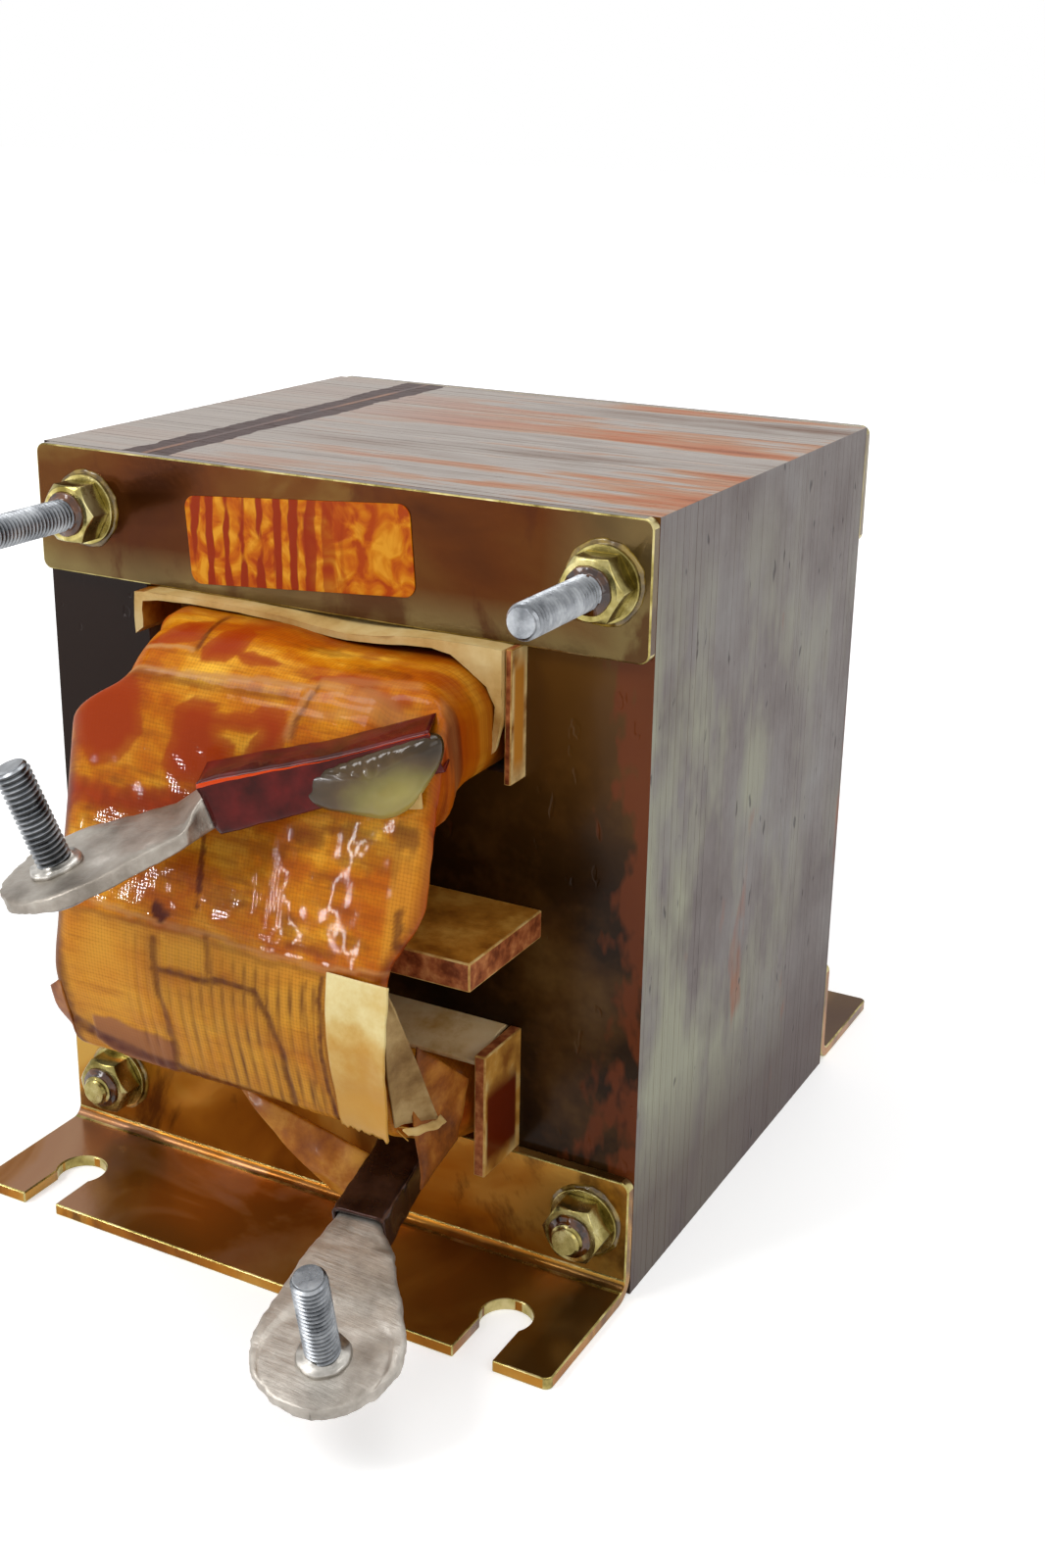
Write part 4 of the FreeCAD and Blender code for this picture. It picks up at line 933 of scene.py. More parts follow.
def coil_wrap(material):
    """The wrapped coil, whose section is carried round its outline. It hides the windings and the barrier
    inside it, whose plain shapes would come through where it is narrower, so it stands in for them too.
    The rear half, which nothing in the photograph shows, mirrors the front with fewer stations."""
    stations = coil_stations()
    rear = [(Vector((-i.x, i.y)), Vector((-o.x, o.y)), -s) for i, o, s in reversed(stations[1:-1])]
    around = stations + rear[::3]
    x, s, n, depth, end = [], [], [], [], []
    for inside, outside, run in around:
        wall = (outside - inside).length
        for px, pn, share in coil_section(wall, run):
            x.append(px)
            s.append(run)
            n.append(pn)
            depth.append(smooth(wall * 0.45, wall, pn))
            end.append(share * smooth(70, 90, abs(run)))
    x, s, n, depth, end = (np.array(values) for values in (x, s, n, depth, end))
    # The rear half carries the same kinds of marks, turned left to right.
    mark_x = np.where(s < 0, 4 - 0.9 * x, x)
    n = n + tape_relief(mark_x, np.abs(s), depth, end)
    marks = varnish_marks(mark_x, np.abs(s), end)
    x = x + 0.3 * end * many_rough(s, n, 13.0, 5.0)
    count = len(x) // len(around)
    loops = []
    for k, (inside, outside, run) in enumerate(around):
        outward = (outside - inside).normalized()
        span = range(k * count, (k + 1) * count)
        spots = [inside + outward * float(n[i]) for i in span]
        loops.append([(float(x[i]), spot.x, spot.y) for i, spot in zip(span, spots)])
    bm = skin(bmesh.new(), loops, closed=True)
    bm.verts.ensure_lookup_table()
    laid = bm.loops.layers.uv.new("laid")
    for face in bm.faces:
        for corner in face.loops:
            i = corner.vert.index
            corner[laid].uv = (x[i] / LAID_UNIT, s[i] / LAID_UNIT)
    piece = to_object(bm, "taped_coil", material,
                      ("coil_tape_wrap", "outer_winding", "winding_barrier", "inner_winding"))
    layer = piece.data.color_attributes.new(name="varnish", type="FLOAT_COLOR", domain="POINT")
    layer.data.foreach_set("color", marks.astype(np.float32).ravel())


def patch(name, place, across, along, thickness, material, node=None):
    """A thin piece of paper or tape: a grid laid over the surface that a rule gives."""
    bm = bmesh.new()
    bmesh.ops.create_grid(bm, x_segments=across, y_segments=along, size=0.5)
    for vert in bm.verts:
        vert.co = place(vert.co.x + 0.5, vert.co.y + 0.5)
    bmesh.ops.recalc_face_normals(bm, faces=bm.faces)
    bmesh.ops.solidify(bm, geom=bm.faces[:], thickness=thickness)
    to_object(bm, name, material, node)


# Threads and leads

def thread(foot, way, length, radius=4.0, pitch=1.25):
    """A rod with a rolled helical thread and a turned-off tip, on a foot and along a direction. One pitch
    of the profile is spun round while it climbs by a pitch, and both ends are cut flat."""
    bm = bmesh.new()
    steps = 30
    root = radius - 0.6 * pitch
    tip = 1.1
    profile = []
    for k in range(int(length / pitch) + 3):
        z = (k - 1) * pitch
        profile += [(root, z), (root, z + 0.2 * pitch)]
        profile += [(radius, z + 0.55 * pitch), (radius, z + 0.68 * pitch)]
    verts = [bm.verts.new((r, 0, z)) for r, z in profile]
    edges = [bm.edges.new(pair) for pair in zip(verts, verts[1:])]
    bmesh.ops.spin(bm, geom=verts + edges, cent=(0, 0, 0), axis=(0, 0, 1),
                   dvec=(0, 0, pitch / steps), angle=2 * math.pi, steps=steps, use_merge=False)
    bmesh.ops.remove_doubles(bm, verts=bm.verts, dist=0.001)
    for z, way_out in ((0.0, -1), (length, 1)):
        geometry = bm.verts[:] + bm.edges[:] + bm.faces[:]
        bmesh.ops.bisect_plane(bm, geom=geometry, dist=0.0001, plane_co=(0, 0, z),
                               plane_no=(0, 0, way_out), clear_outer=True)
        rim = [e for e in bm.edges if e.is_boundary and all(abs(v.co.z - z) < 0.001 for v in e.verts)]
        bmesh.ops.contextual_create(bm, geom=rim)
    for vert in bm.verts:
        room = radius - max(0.0, vert.co.z - (length - tip)) * 0.75
        out = math.hypot(vert.co.x, vert.co.y)
        if out > room:
            vert.co.x *= room / out
            vert.co.y *= room / out
    bmesh.ops.recalc_face_normals(bm, faces=bm.faces)
    bmesh.ops.transform(bm, matrix=turned_to(foot, way), verts=bm.verts)
    return bm


def joined(first, second):
    """Puts the second mesh into the first."""
    passing = bpy.data.meshes.new("passing")
    second.to_mesh(passing)
    second.free()
    first.from_mesh(passing)
    bpy.data.meshes.remove(passing)
    return first


def from_node(nodes, name):
    """A CAD node's mesh in millimetres, with its loose triangles merged."""
    bm = bmesh.new()
    bm.from_mesh(nodes[name].data)
    bmesh.ops.scale(bm, vec=(1 / MM, 1 / MM, 1 / MM), verts=bm.verts)
    bmesh.ops.remove_doubles(bm, verts=bm.verts, dist=0.001)
    return bm


def softened(nodes, name, width, material, others=(), choose=None):
    """A CAD node's shape with its sharp edges broken, as on deburred sheet and sawn board. A rule on
    the face's direction may choose another finish."""
    bm = from_node(nodes, name)
    bmesh.ops.dissolve_limit(bm, angle_limit=0.02, verts=bm.verts, edges=bm.edges)
    sharp = [e for e in bm.edges if len(e.link_faces) == 2 and e.calc_face_angle() > 0.6 and e.is_convex]
    bmesh.ops.bevel(bm, geom=sharp, offset=width, segments=2, profile=0.5, affect="EDGES", material=-1)
    piece = to_object(bm, name + "_soft", material, name, crease=22)
    for other in others:
        piece.data.materials.append(other)
    if choose:
        for face in piece.data.polygons:
            face.material_index = choose(face)


def slanted(face):
    """1 for the narrow faces along broken edges, 0 for the broad ones and for the bends of the feet,
    which lie just above the flanges and in front of the upright legs."""
    bend = 0.0033 < face.center.z < 0.010 and 0.0702 < abs(face.center.y) < 0.078
    return int(max(abs(part) for part in face.normal) < 0.995 and not bend)


def sawn_ends(broad):
    """A rule for a board: its broad faces across the given axis keep their sheen, 1 is a rubbed edge and
    2 a sawn face."""
    return lambda face: slanted(face) or 2 * (abs(face.normal[broad]) < 0.5)


def clamp_bolt(nodes, place, metal, varnish, golden):
    """A clamp bolt whose bare end in front carries a thread, with the varnish that crept round its nut
    and its washer."""
    name = place + "_clamp_bolt"
    low, high = box_mm(name)
    x, z = (low.x + high.x) / 2, (low.z + high.z) / 2
    nut_face = box_mm("clamp_nuts")[0].y
    plate_face = box_mm("front_clamp_plate")[0].y
    cut = nut_face + 0.5
    bm = from_node(nodes, name)
    bmesh.ops.bisect_plane(bm, geom=bm.verts[:] + bm.edges[:] + bm.faces[:], dist=0.0001,
                           plane_co=(0, cut, 0), plane_no=FORWARD, clear_outer=True)
    bmesh.ops.holes_fill(bm, edges=bm.edges)
    joined(bm, thread((x, cut, z), FORWARD, cut - low.y))
    to_object(bm, name + "_threaded", metal, name, crease=22)
    collar(place + "_gunk", (x, nut_face, z), FORWARD, 3.7, 5.6, 1.6, x, varnish)
    collar(place + "_varnish_ring", (x, plate_face, z), FORWARD, 8.3, 9.7, 0.7, z, golden)


def terminal(lead, metal, solder):
    """A lead's threaded stud, with its flat round head under the lug and a ring of solder over it."""
    bm = thread(lead.foot - lead.way.normalized() * LUG_THICKNESS, lead.way, STUD_LENGTH + LUG_THICKNESS)
    disc = bmesh.new()
    bmesh.ops.create_cone(disc, cap_ends=True, segments=48, radius1=HEAD_RADIUS, radius2=HEAD_RADIUS,
                          depth=HEAD_HEIGHT)
    bmesh.ops.translate(disc, verts=disc.verts, vec=(0, 0, -LUG_THICKNESS - HEAD_HEIGHT / 2))
    bmesh.ops.transform(disc, matrix=turned_to(lead.foot, lead.way), verts=disc.verts)
    to_object(joined(bm, disc), lead.name + "_terminal", metal,
              lead.name + "_terminal_stud", crease=22)
    collar(lead.name + "_solder", lead.foot, lead.way, 3.6, 6.2, 1.4, lead.foot.x, solder)


def collar(name, foot, way, inner, outer, height, seed, material):
    """A lumpy ring of solder or varnish that crept round the foot of a stud or a nut."""
    bm = bmesh.new()
    profile = [(inner, 0.0), (inner, height), (inner + (outer - inner) * 0.35, height * 0.55), (outer, 0.0)]
    verts = [bm.verts.new((r, 0, z)) for r, z in profile]
    edges = [bm.edges.new(pair) for pair in zip(verts, verts[1:] + verts[:1])]
    bmesh.ops.spin(bm, geom=verts + edges, cent=(0, 0, 0), axis=(0, 0, 1), dvec=(0, 0, 0),
                   angle=2 * math.pi, steps=48, use_merge=True)
    for vert in bm.verts:
        if math.hypot(vert.co.x, vert.co.y) > inner + 0.1:
            swell = 1 + 0.06 * rough(vert.co.x, vert.co.y, seed, 2.5)
            vert.co.x *= swell
            vert.co.y *= swell
        vert.co.z *= 1 + 0.5 * rough(vert.co.x, vert.co.y, seed + 4, 2.0)
    bmesh.ops.subdivide_edges(bm, edges=bm.edges, cuts=1, use_grid_fill=True, smooth=1.0)
    bmesh.ops.transform(bm, matrix=turned_to(foot, way), verts=bm.verts)
    to_object(bm, name, material)


# The leads, in millimetres: where each comes out of the coil, where its bar ends and is flattened, the
# foot and the direction of its stud, and the bar's section, rolled by so many degrees.
Lead = namedtuple("Lead", "name root neck foot way width height roll")
UPPER = Lead("upper", Vector((44.6, -103.0, 143.8)), Vector((2.6, -116.0, 128.6)),
             Vector((-23.8, -138.6, 115.7)), Vector((-0.25, -0.225, 0.942)), 8.8, 8.8, -9.0)
LOWER = Lead("lower", Vector((34.8, -86.0, 37.8)), Vector((38.0, -114.8, 30.0)),
             Vector((51.0, -149.2, 23.6)), Vector((0.06, -0.28, 0.957)), 11.4, 8.0, 0.0)
LUG_RADIUS, LUG_THICKNESS = 17.0, 4.2
LUG_STUD_OFFSET = 3.5    # from the lug's round middle towards its free end
LUG_THROAT_RUN, LUG_THROAT_WIDTH = 9.0, 20.0
STUD_LENGTH = 25.0
HEAD_RADIUS, HEAD_HEIGHT = 7.0, 3.5


def lead_frame(start, end, roll=0.0):
    """Unit directions along a lead, across it and out of its upper face."""
    along = (end - start).normalized()
    across = along.cross(Vector((0, 0, 1))).normalized()
    across.rotate(Matrix.Rotation(math.radians(roll), 3, along))
    return along, across, across.cross(along).normalized()


def lead_and_lug(lead, material):
    """A bar whose end is beaten out to an oval lug, as one lofted skin."""
    root, neck = lead.root, lead.neck
    normal = lead.way.normalized()
    along, across, up = lead_frame(root, neck, lead.roll)
    inward = neck - lead.foot
    inward = (inward - normal * inward.dot(normal)).normalized()
    side = normal.cross(inward)
    centre = lead.foot + inward * LUG_STUD_OFFSET - normal * LUG_THICKNESS / 2
    throat = (neck - centre).dot(inward) - LUG_THROAT_RUN
    bar_end = root.lerp(neck, 0.97)
    # Each section is its middle, its two directions, its width and height, and how square it is: first
    # the bar, then the stretch where it is flattened and widened.
    sections = [(middle, across, up, lead.width, lead.height, 8.0) for middle in (root, bar_end)]
    for k in range(1, 10):
        t = smooth(0.0, 1.0, k / 10)
        middle = bar_end.lerp(centre + inward * throat, k / 10)
        a = across.lerp(side, t).normalized()
        b = up.lerp(normal, t).normalized()
        sections.append((middle, a, b, lead.width + (LUG_THROAT_WIDTH - lead.width) * t,
                         lead.height + (LUG_THICKNESS - lead.height) * t, 6.5))
    # The lug's straight sides, which touch its round end.
    half_angle = math.asin(min(1.0, (LUG_RADIUS - LUG_THROAT_WIDTH / 2) / max(8.0, throat)))
    widest = LUG_RADIUS * math.sin(half_angle)
    full_width = 2 * LUG_RADIUS * math.cos(half_angle)
    for k in range(12):
        t = k / 12
        sections.append((centre + inward * (throat + (widest - throat) * t), side, normal,
                         LUG_THROAT_WIDTH + (full_width - LUG_THROAT_WIDTH) * t, LUG_THICKNESS, 7.0))
    # Its round end, which is a little thinner towards the tip.
    for k in range(31):
        angle = half_angle - (half_angle + math.pi / 2 - 0.02) * k / 30
        sections.append((centre + inward * (LUG_RADIUS * math.sin(angle)), side, normal,
                         max(0.8, 2 * LUG_RADIUS * math.cos(angle)),
                         LUG_THICKNESS - 0.5 * smooth(0.4, 1.0, -math.sin(angle)), 7.0))
    bm = bmesh.new()
    skin(bm, [[middle + a * u + b * v for u, v in oval(w, h, power, 96)]
              for middle, a, b, w, h, power in sections])
    # The hammered part: a ragged rim, beaten faces and a flat seat for the solder.
    for vert in bm.verts:
        if (vert.co - root).length < 35:
            continue
        out = vert.co - centre
        flat = out - normal * out.dot(normal)
        rim = smooth(12.0, LUG_RADIUS, flat.length)
        ragged = 0.5 * rough(*vert.co, size=5.0) + 0.45 * rough(*vert.co, size=1.8) - 0.3
        vert.co += flat.normalized() * rim * ragged
        beaten = 0.22 * rough(*vert.co, size=6.0) + 0.08 * rough(*vert.co, size=2.0)
        pressed = 0.35 * smooth(14.6, 14.0, (vert.co - lead.foot).length) * (out.dot(normal) > 0)
        vert.co += normal * (beaten - pressed)
    to_object(bm, lead.name + "_lead", material, lead.name + "_lead_conductor")


def sleeve(lead, start, flare, crumple, material):
    """Sleeving over a lead's bar from a start to its neck: a thin square tube that is wider at its open
    end, with soft ripples."""
    end = lead.neck
    along, across, up = lead_frame(start, end, lead.roll)
    wall, play = 0.65, 0.08
    steps, around = 44, 64
    bm = bmesh.new()
    loops = []
    for grow, order in ((play + wall, range(steps + 1)), (play, range(steps, -1, -1))):
        for k in order:
            t = k / steps
            rise, sag = flare * smooth(0.35, 1.0, t), 0.6 * flare * smooth(0.0, 0.5, t)
            middle = start.lerp(end, t) + up * (rise - sag) / 2
            loop = []
            width = lead.width + 2 * grow + 0.5 * rise
            height = lead.height + 2 * grow + rise + sag
            for u, v in oval(width, height, 9.0, around):
                spot = middle + across * u + up * v
                if grow > play:
                    out = (across * u + up * v).normalized()
                    spot += out * crumple * (rough(*spot, size=4.0) + 0.4 * rough(*spot, size=1.6))
                    spot += along * 0.5 * rough(u, v, 3, 2.0) * (k == steps)
                loop.append(spot)
            loops.append(loop)
    skin(bm, loops, closed=True)
    laid = bm.loops.layers.uv.new("laid")
    bm.verts.index_update()
    for face in bm.faces:
        for corner in face.loops:
            ring, place = divmod(corner.vert.index, around)
            corner[laid].uv = (place / around, ring / len(loops))
    to_object(bm, lead.name + "_sleeve", material, lead.name + "_lead_sleeve")


# The adhesive's outline on the front of the upper sleeve: along the lead from its root, and up.
DROP = ((22, 1.6), (25, -3.0), (22.5, -6.6), (17.8, -8.6), (13.2, -10.6), (9.2, -12.2), (4.1, -12.1),
        (0, -9.8), (-3.5, -6.6), (-7.2, -3.4), (-9.2, 0.6), (-8.6, 3.0), (-5, 3.6), (1, 3.4), (8.1, 3.0),
        (15, 2.6))


def adhesive_drop(lead, material):
    """Adhesive smeared over the front of the upper sleeve, which sagged into a drop before it set. Its
    outline is rounded, then laid in ever smaller loops that lie further out."""
    along, across, up = lead_frame(lead.root, lead.neck)
    rounded = []
    for before, here, after in zip(DROP[-1:] + DROP[:-1], DROP, DROP[1:] + DROP[:1]):
        before, here, after = Vector(before), Vector(here), Vector(after)
        for k in range(5):
            t = k / 5
            start, end = (before + here) / 2, (here + after) / 2
            rounded.append(start.lerp(here, t).lerp(here.lerp(end, t), t))
    centre = Vector((7, -2.5))
    dome = ((0.9, 1.0), (0.97, 2.2), (1.0, 3.6), (0.985, 4.8), (0.95, 5.7), (0.88, 6.5), (0.78, 7.1),
            (0.64, 7.6), (0.48, 7.9), (0.3, 8.1), (0.12, 8.2))
    loops = []
    for share, lift in dome:
        loop = []
        for spot in rounded:
            a, h = centre.lerp(spot, share)
            thin = smooth(8, 24, a)
            ridge = 0.4 * math.sin(a * 1.9 + 0.3 * math.sin(h)) * smooth(-6, 2, h) * (share < 0.97)
            drop = 1.4 * smooth(-3, -9, h) * smooth(14, 6, a) * smooth(3.6, 7, lift)
            out = lift - 1.6 * thin * smooth(3, 8, lift) + ridge + drop + 0.25 * rough(a, h, share * 3, 3.0)
            loop.append(lead.root + along * a + up * h - across * out)
        loops.append(loop)
    to_object(skin(bmesh.new(), loops), "adhesive_drop", material, "upper_lead_adhesive")


# The core and the boards

SHEET_PAIR = 1.0    # two sheets of 0.5 mm, which show as one line


def sheet_outlines():
    """The punched outlines of the E and the I sheets as (x, z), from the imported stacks. The yokes and the
    windows are each a sixth of the height."""
    (e_left, _, bottom), (e_right, _, top) = box_mm("e_core_stack")
    (i_left, _, _), (i_right, _, _) = box_mm("i_core_stack")
    spine = box_mm("upper_window_board")[1].x
    step = (top - bottom) / 6
    e_sheet = [(e_left, bottom), (e_right, bottom), (e_right, top), (e_left, top)]
    for upper, lower in ((5, 4), (2, 1)):
        e_sheet += [(e_left, upper * step), (spine, upper * step)]
        e_sheet += [(spine, lower * step), (e_left, lower * step)]
    return e_sheet, [(i_left, bottom), (i_right, bottom), (i_right, top), (i_left, top)]


def sheet_stack(name, outline, seed, material, node):
    """A stack of punched sheets, each pair a hair short of the next, so that the cut edges run in lines."""
    bm = bmesh.new()
    front, back = (corner.y for corner in box_mm(node))
    count = round((back - front) / SHEET_PAIR)
    middle = (sum(x for x, z in outline) / len(outline), max(z for x, z in outline) / 2)
    for k in range(count):
        y = front + (back - front) * k / count
        short = [0.08 * abs(rough(k * 1.7, seed, axis * 5, 1.0)) for axis in (0, 1)]
        verts = [bm.verts.new((x - math.copysign(short[0], x - middle[0]), y,
                               z - math.copysign(short[1], z - middle[1]))) for x, z in outline]
        grown = bmesh.ops.extrude_face_region(bm, geom=[bm.faces.new(verts)])
        moved = [v for v in grown["geom"] if isinstance(v, bmesh.types.BMVert)]
        bmesh.ops.translate(bm, vec=(0, (back - front) / count, 0), verts=moved)
    to_object(bm, name, material, node, smooth_shade=False)


# The liner's section in front: its lower line from the right, and its upper line back from the left.
# Deeper in, the lower line stays above the ceiling and the upper line at the top of the window.
LINER_CEILING, WINDOW_TOP = 157.7, 160.0
LINER_UNDER = ((45.8, 132.4), (48.0, 136.5), (49.4, 141.5), (49.6, 146.5), (47.4, 150.8), (43.0, 154.2),
               (38.0, 156.8), (33.0, 157.7), (26.0, 157.4), (18.0, 156.5), (10.0, 156.1), (2.0, 156.7),
               (-8.0, 157.9), (-20.0, 158.5), (-34.0, 158.5), (-44.0, 158.2), (-48.6, 157.4), (-49.2, 155.0),
               (-49.2, 150.6))
LINER_OVER = ((-51.4, 148.8), (-51.6, 153.0), (-51.6, 157.0), (-51.2, 159.4), (-47.0, 159.9), (-34.0, 160.0),
              (-20.0, 160.0), (-8.0, 159.4), (2.0, 158.2), (10.0, 157.7), (18.0, 158.3), (26.0, 159.5),
              (33.0, 159.9), (41.0, 160.0), (48.0, 160.0), (51.3, 159.8), (51.4, 152.0), (51.4, 143.0),
              (49.8, 136.0))


def upper_liner(material, soaked):
    """Folded board over the coil in the upper window. Its front edge sags in the middle, and its
    right corner is full, because several sheets were folded together."""
    under = [Vector(point) for point in LINER_UNDER]
    over = [Vector(point) for point in LINER_OVER]
    # Deeper in the window the board lies straight against the yoke.
    straight = [Vector((x, max(z, LINER_CEILING) if -40 < x < 36 else z)) for x, z in LINER_UNDER]
    level = [Vector((x, WINDOW_TOP if -47 < x < 51 else z)) for x, z in LINER_OVER]
    loops = []
    for y in (-76.0, -75.6, -74.5, -72.0, -69.0, -66.0, -60.0, 60.0, 76.0):
        lip = smooth(-62.0, -76.0, y)
        loop = [a.lerp(b, lip) for a, b in zip(straight + level, under + over)]
        fine = []
        for a, b in zip(loop, loop[1:] + loop[:1]):
            fine += [a.lerp(b, k / 4) for k in range(4)]
        loops.append([(x, y + 0.7 * rough(x, z, 2, 6) * lip * (y < -70) + 0.7 * lip, z) for x, z in fine])
    piece = to_object(skin(bmesh.new(), loops), "folded_liner", material,
                      "upper_window_liner", crease=50)
    piece.data.materials.append(soaked)
    # Varnish soaked its left end.
    for face in piece.data.polygons:
        face.material_index = int(face.center.x < -0.0478 and face.center.y < -0.05)


def dress(nodes, material, *names):
    """Gives CAD nodes a finish."""
    for name in names:
        mesh = nodes[name].data
        mesh.materials.clear()
        mesh.materials.append(material)


# The stage

def photo_camera():
    """The camera as worked out from the object's straight edges: its lens and shift, where it stands in
    metres, and its directions to the right and forward."""
    data = bpy.data.cameras.new("photo_camera")
    data.sensor_fit = "VERTICAL"
    data.sensor_height = 36.0
    data.lens = 43.774
    data.shift_x = 0.0059
    data.shift_y = -0.0266
    data.clip_start = 0.01
    data.clip_end = 60.0
    camera = bpy.data.objects.new("photo_camera", data)
    right = Vector((0.878, 0.479, 0.014))
    forward = Vector((-0.448, 0.832, -0.325)).normalized()
    right = (right - forward * right.dot(forward)).normalized()
    up = right.cross(forward)
    turn = Matrix((right, up, -forward)).transposed().to_4x4()
    camera.matrix_world = Matrix.Translation(Vector((0.2450, -0.4291, 0.2773))) @ turn
    bpy.context.scene.collection.objects.link(camera)
    bpy.context.scene.camera = camera


def lamp(name, place, target, width, height, power):
    """A lamp of a given size in metres and power in watts that looks at a point."""
    data = bpy.data.lights.new(name, "AREA")
    data.shape = "RECTANGLE"
    data.size = width
    data.size_y = height
    data.energy = power
    light = bpy.data.objects.new(name, data)
    way = Vector(target) - Vector(place)
    light.matrix_world = Matrix.Translation(Vector(place)) @ way.to_track_quat("-Z", "Y").to_matrix().to_4x4()
    bpy.context.scene.collection.objects.link(light)


def studio():
    """A white floor, a pale surround and soft lamps."""
    bm = bmesh.new()
    bmesh.ops.create_grid(bm, x_segments=1, y_segments=1, size=6.0)
    mesh = bpy.data.meshes.new("floor")
    bm.to_mesh(mesh)
    bm.free()
    mesh.materials.append(floor_material())
    floor = bpy.data.objects.new("floor", mesh)
    bpy.context.scene.collection.objects.link(floor)
    world = bpy.data.worlds.new("surround")
    bpy.context.scene.world = world
    world.use_nodes = True
    tree = world.node_tree
    sky = put(tree, "ShaderNodeSeparateXYZ", {"Vector": put(tree, "ShaderNodeTexCoord").outputs["Generated"]})
    level = put(tree, "ShaderNodeMapRange", {
        "Value": sky.outputs["Z"], "From Min": -0.1, "From Max": 0.9, "To Min": 0.3, "To Max": 0.7})
    dim = put(tree, "ShaderNodeBackground", {"Strength": level.outputs[0]})
    white = put(tree, "ShaderNodeBackground", {"Color": "#ffffff", "Strength": 1.0})
    both = put(tree, "ShaderNodeMixShader", {0: seen_directly(tree), 1: dim.outputs[0], 2: white.outputs[0]})
    tree.links.new(both.outputs[0], tree.nodes["World Output"].inputs["Surface"])
    lamp("key", (-0.7, -0.9, 1.3), (0, -0.03, 0.1), 0.6, 0.6, 11.0)
    lamp("fill", (1.3, -0.5, 0.9), (0, 0, 0.1), 0.9, 0.9, 4.0)
    lamp("top", (0.1, 0.3, 1.5), (0, 0, 0.1), 0.8, 0.8, 5.0)
    # Two small lamps low in front give the wet glints on the varnish.
    lamp("glint", (-0.65, -0.92, 0.12), (-0.03, -0.117, 0.107), 0.035, 0.035, 0.75)
    lamp("glint_strip", (-0.576, -1.15, 0.14), (0.034, -0.117, 0.105), 0.012, 0.2, 0.7)


def papers(look):
    """The loose ends: the tape's tail, the torn flap, and the papers that hang out under the coil. Each
    rule gives a point for shares across and along its paper."""
    def tail(u, v):
        """The pale end of the tape: stuck down along the coil's right side, its ragged end hanging free."""
        s = 159.8 + (40.5 + 1.6 * rough(u * 20, 3, 0, 1.5)) * v
        left, right = 31.6, 47.6 - 2.6 * smooth(168, 200, s) + 0.3 * rough(s, 1, 0, 5)
        x = left + (right - left) * u
        curl = 1.6 * smooth(188, 203, s) * (0.4 + 0.6 * u) + 0.8 * smooth(40, 48, x) * smooth(160, 175, s)
        stuck_to = min(s, 198)
        hanging = Vector((0, 0.4, -0.96)) * (s - stuck_to)
        return on_coil(x, stuck_to, 0.5 + curl + 0.25 * rough(x, s, 0, 6)) + hanging

    def flap(u, v):
        """The torn flap that stands off the coil's lower right end."""
        v = 0.03 + 0.97 * v
        near = on_coil(46.6 - 1.6 * v, 160 + 38 * v, -0.4)
        far = Vector((48.4, -116.6, 91)).lerp(Vector((50.3, -100.5, 55.5)), v)
        bulge = Vector((-1.6 * math.sin(math.pi * u) * v, 0, 0.6 * rough(u * 6, v * 6, 2, 2)))
        return near.lerp(far, u) + bulge

    def lip(u, v):
        """The flap's torn lower edge, bent outwards."""
        spot = Vector((48.4, -113.4, 58.2)).lerp(Vector((50.3, -100.5, 55.8)), u)
        torn = 0.5 * rough(u * 8, v, 4, 1.5)
        return spot + Vector((1.4 * math.sin(math.pi * u) + 1.6 * v, 0.2, -1.1 * v + torn))

    def under(u, v):
        """Varnished paper that hangs down in a point below the coil."""
        left, right, tip = Vector((-9.5, -97.5, 47.4)), Vector((30, -97, 38)), Vector((23, -98.5, 25))
        low = tip.lerp(Vector((18 + 8 * u, -98.5, 27 - 3 * u)), 0.8)
        spot = left.lerp(right, u).lerp(low, v)
        return spot + Vector((0, -1.6 * math.sin(math.pi * v) + 0.7 * rough(spot.x, spot.z, 1, 7), 0))

    def curled(u, v):
        """Browned paper that curls out of the coil's end behind the flap."""
        near = Vector((50.2, -109.4, 77.5)).lerp(Vector((50.4, -108.3, 41)), v)
        far = Vector((50.0, -86, 58.5)).lerp(Vector((49.8, -91, 45)), v)
        bend = 3.2 * math.sin(math.pi * min(1.0, v * 1.1)) * (1 - u)
        ragged = 0.4 * rough(u * 5, v * 7, 6, 1.6)
        return near.lerp(far, u) + Vector((ragged - bend, 2.4 * math.sin(math.pi * v) * (1 - u), 0))

    def scrap(u, v):
        """A scrap of paper that looks out beside the upper sleeve."""
        return Vector((45.2 + 5 * u, -107 - 0.8 * u * v, 131.8 + 5 * v + 1.2 * u))

    def nib(u, v):
        """A corner of browned tape that sticks out at the coil's lower left."""
        out = 4.6 * smooth(0.0, 0.22, v) * smooth(1.0, 0.5, v)
        return on_coil(-46.5 - (0.6 + out) * u, 182 + 18 * v, -0.6 - 1.2 * u)

    patch("tape_end", tail, 26, 60, 0.3, look.pale_tape, "tape_tail")
    patch("torn_flap", flap, 14, 20, 0.5, look.beige, "paper_flap")
    patch("flap_lip", lip, 24, 4, 0.5, look.cream)
    patch("paper_under_coil", under, 24, 20, 0.4, look.amber)
    patch("curled_paper", curled, 16, 24, 0.5, look.browned)
    patch("paper_scrap", scrap, 8, 8, 0.5, look.cream)
    patch("tape_nib", nib, 8, 10, 0.4, look.browned)
    # Two frayed threads of the tape's end.
    for k, end in enumerate(((47.1, -108.5, 52.6), (50.5, -108.0, 55.6))):
        def strand(u, v, end=Vector(end)):
            bow = math.sin(math.pi * v)
            return Vector((43.3, -108.6, 55.2)).lerp(end, v) + Vector((0, -0.8 * bow, 0.35 * u + 0.7 * bow))
        patch(f"tape_strand_{k}", strand, 2, 12, 0.2, look.pale_tape)


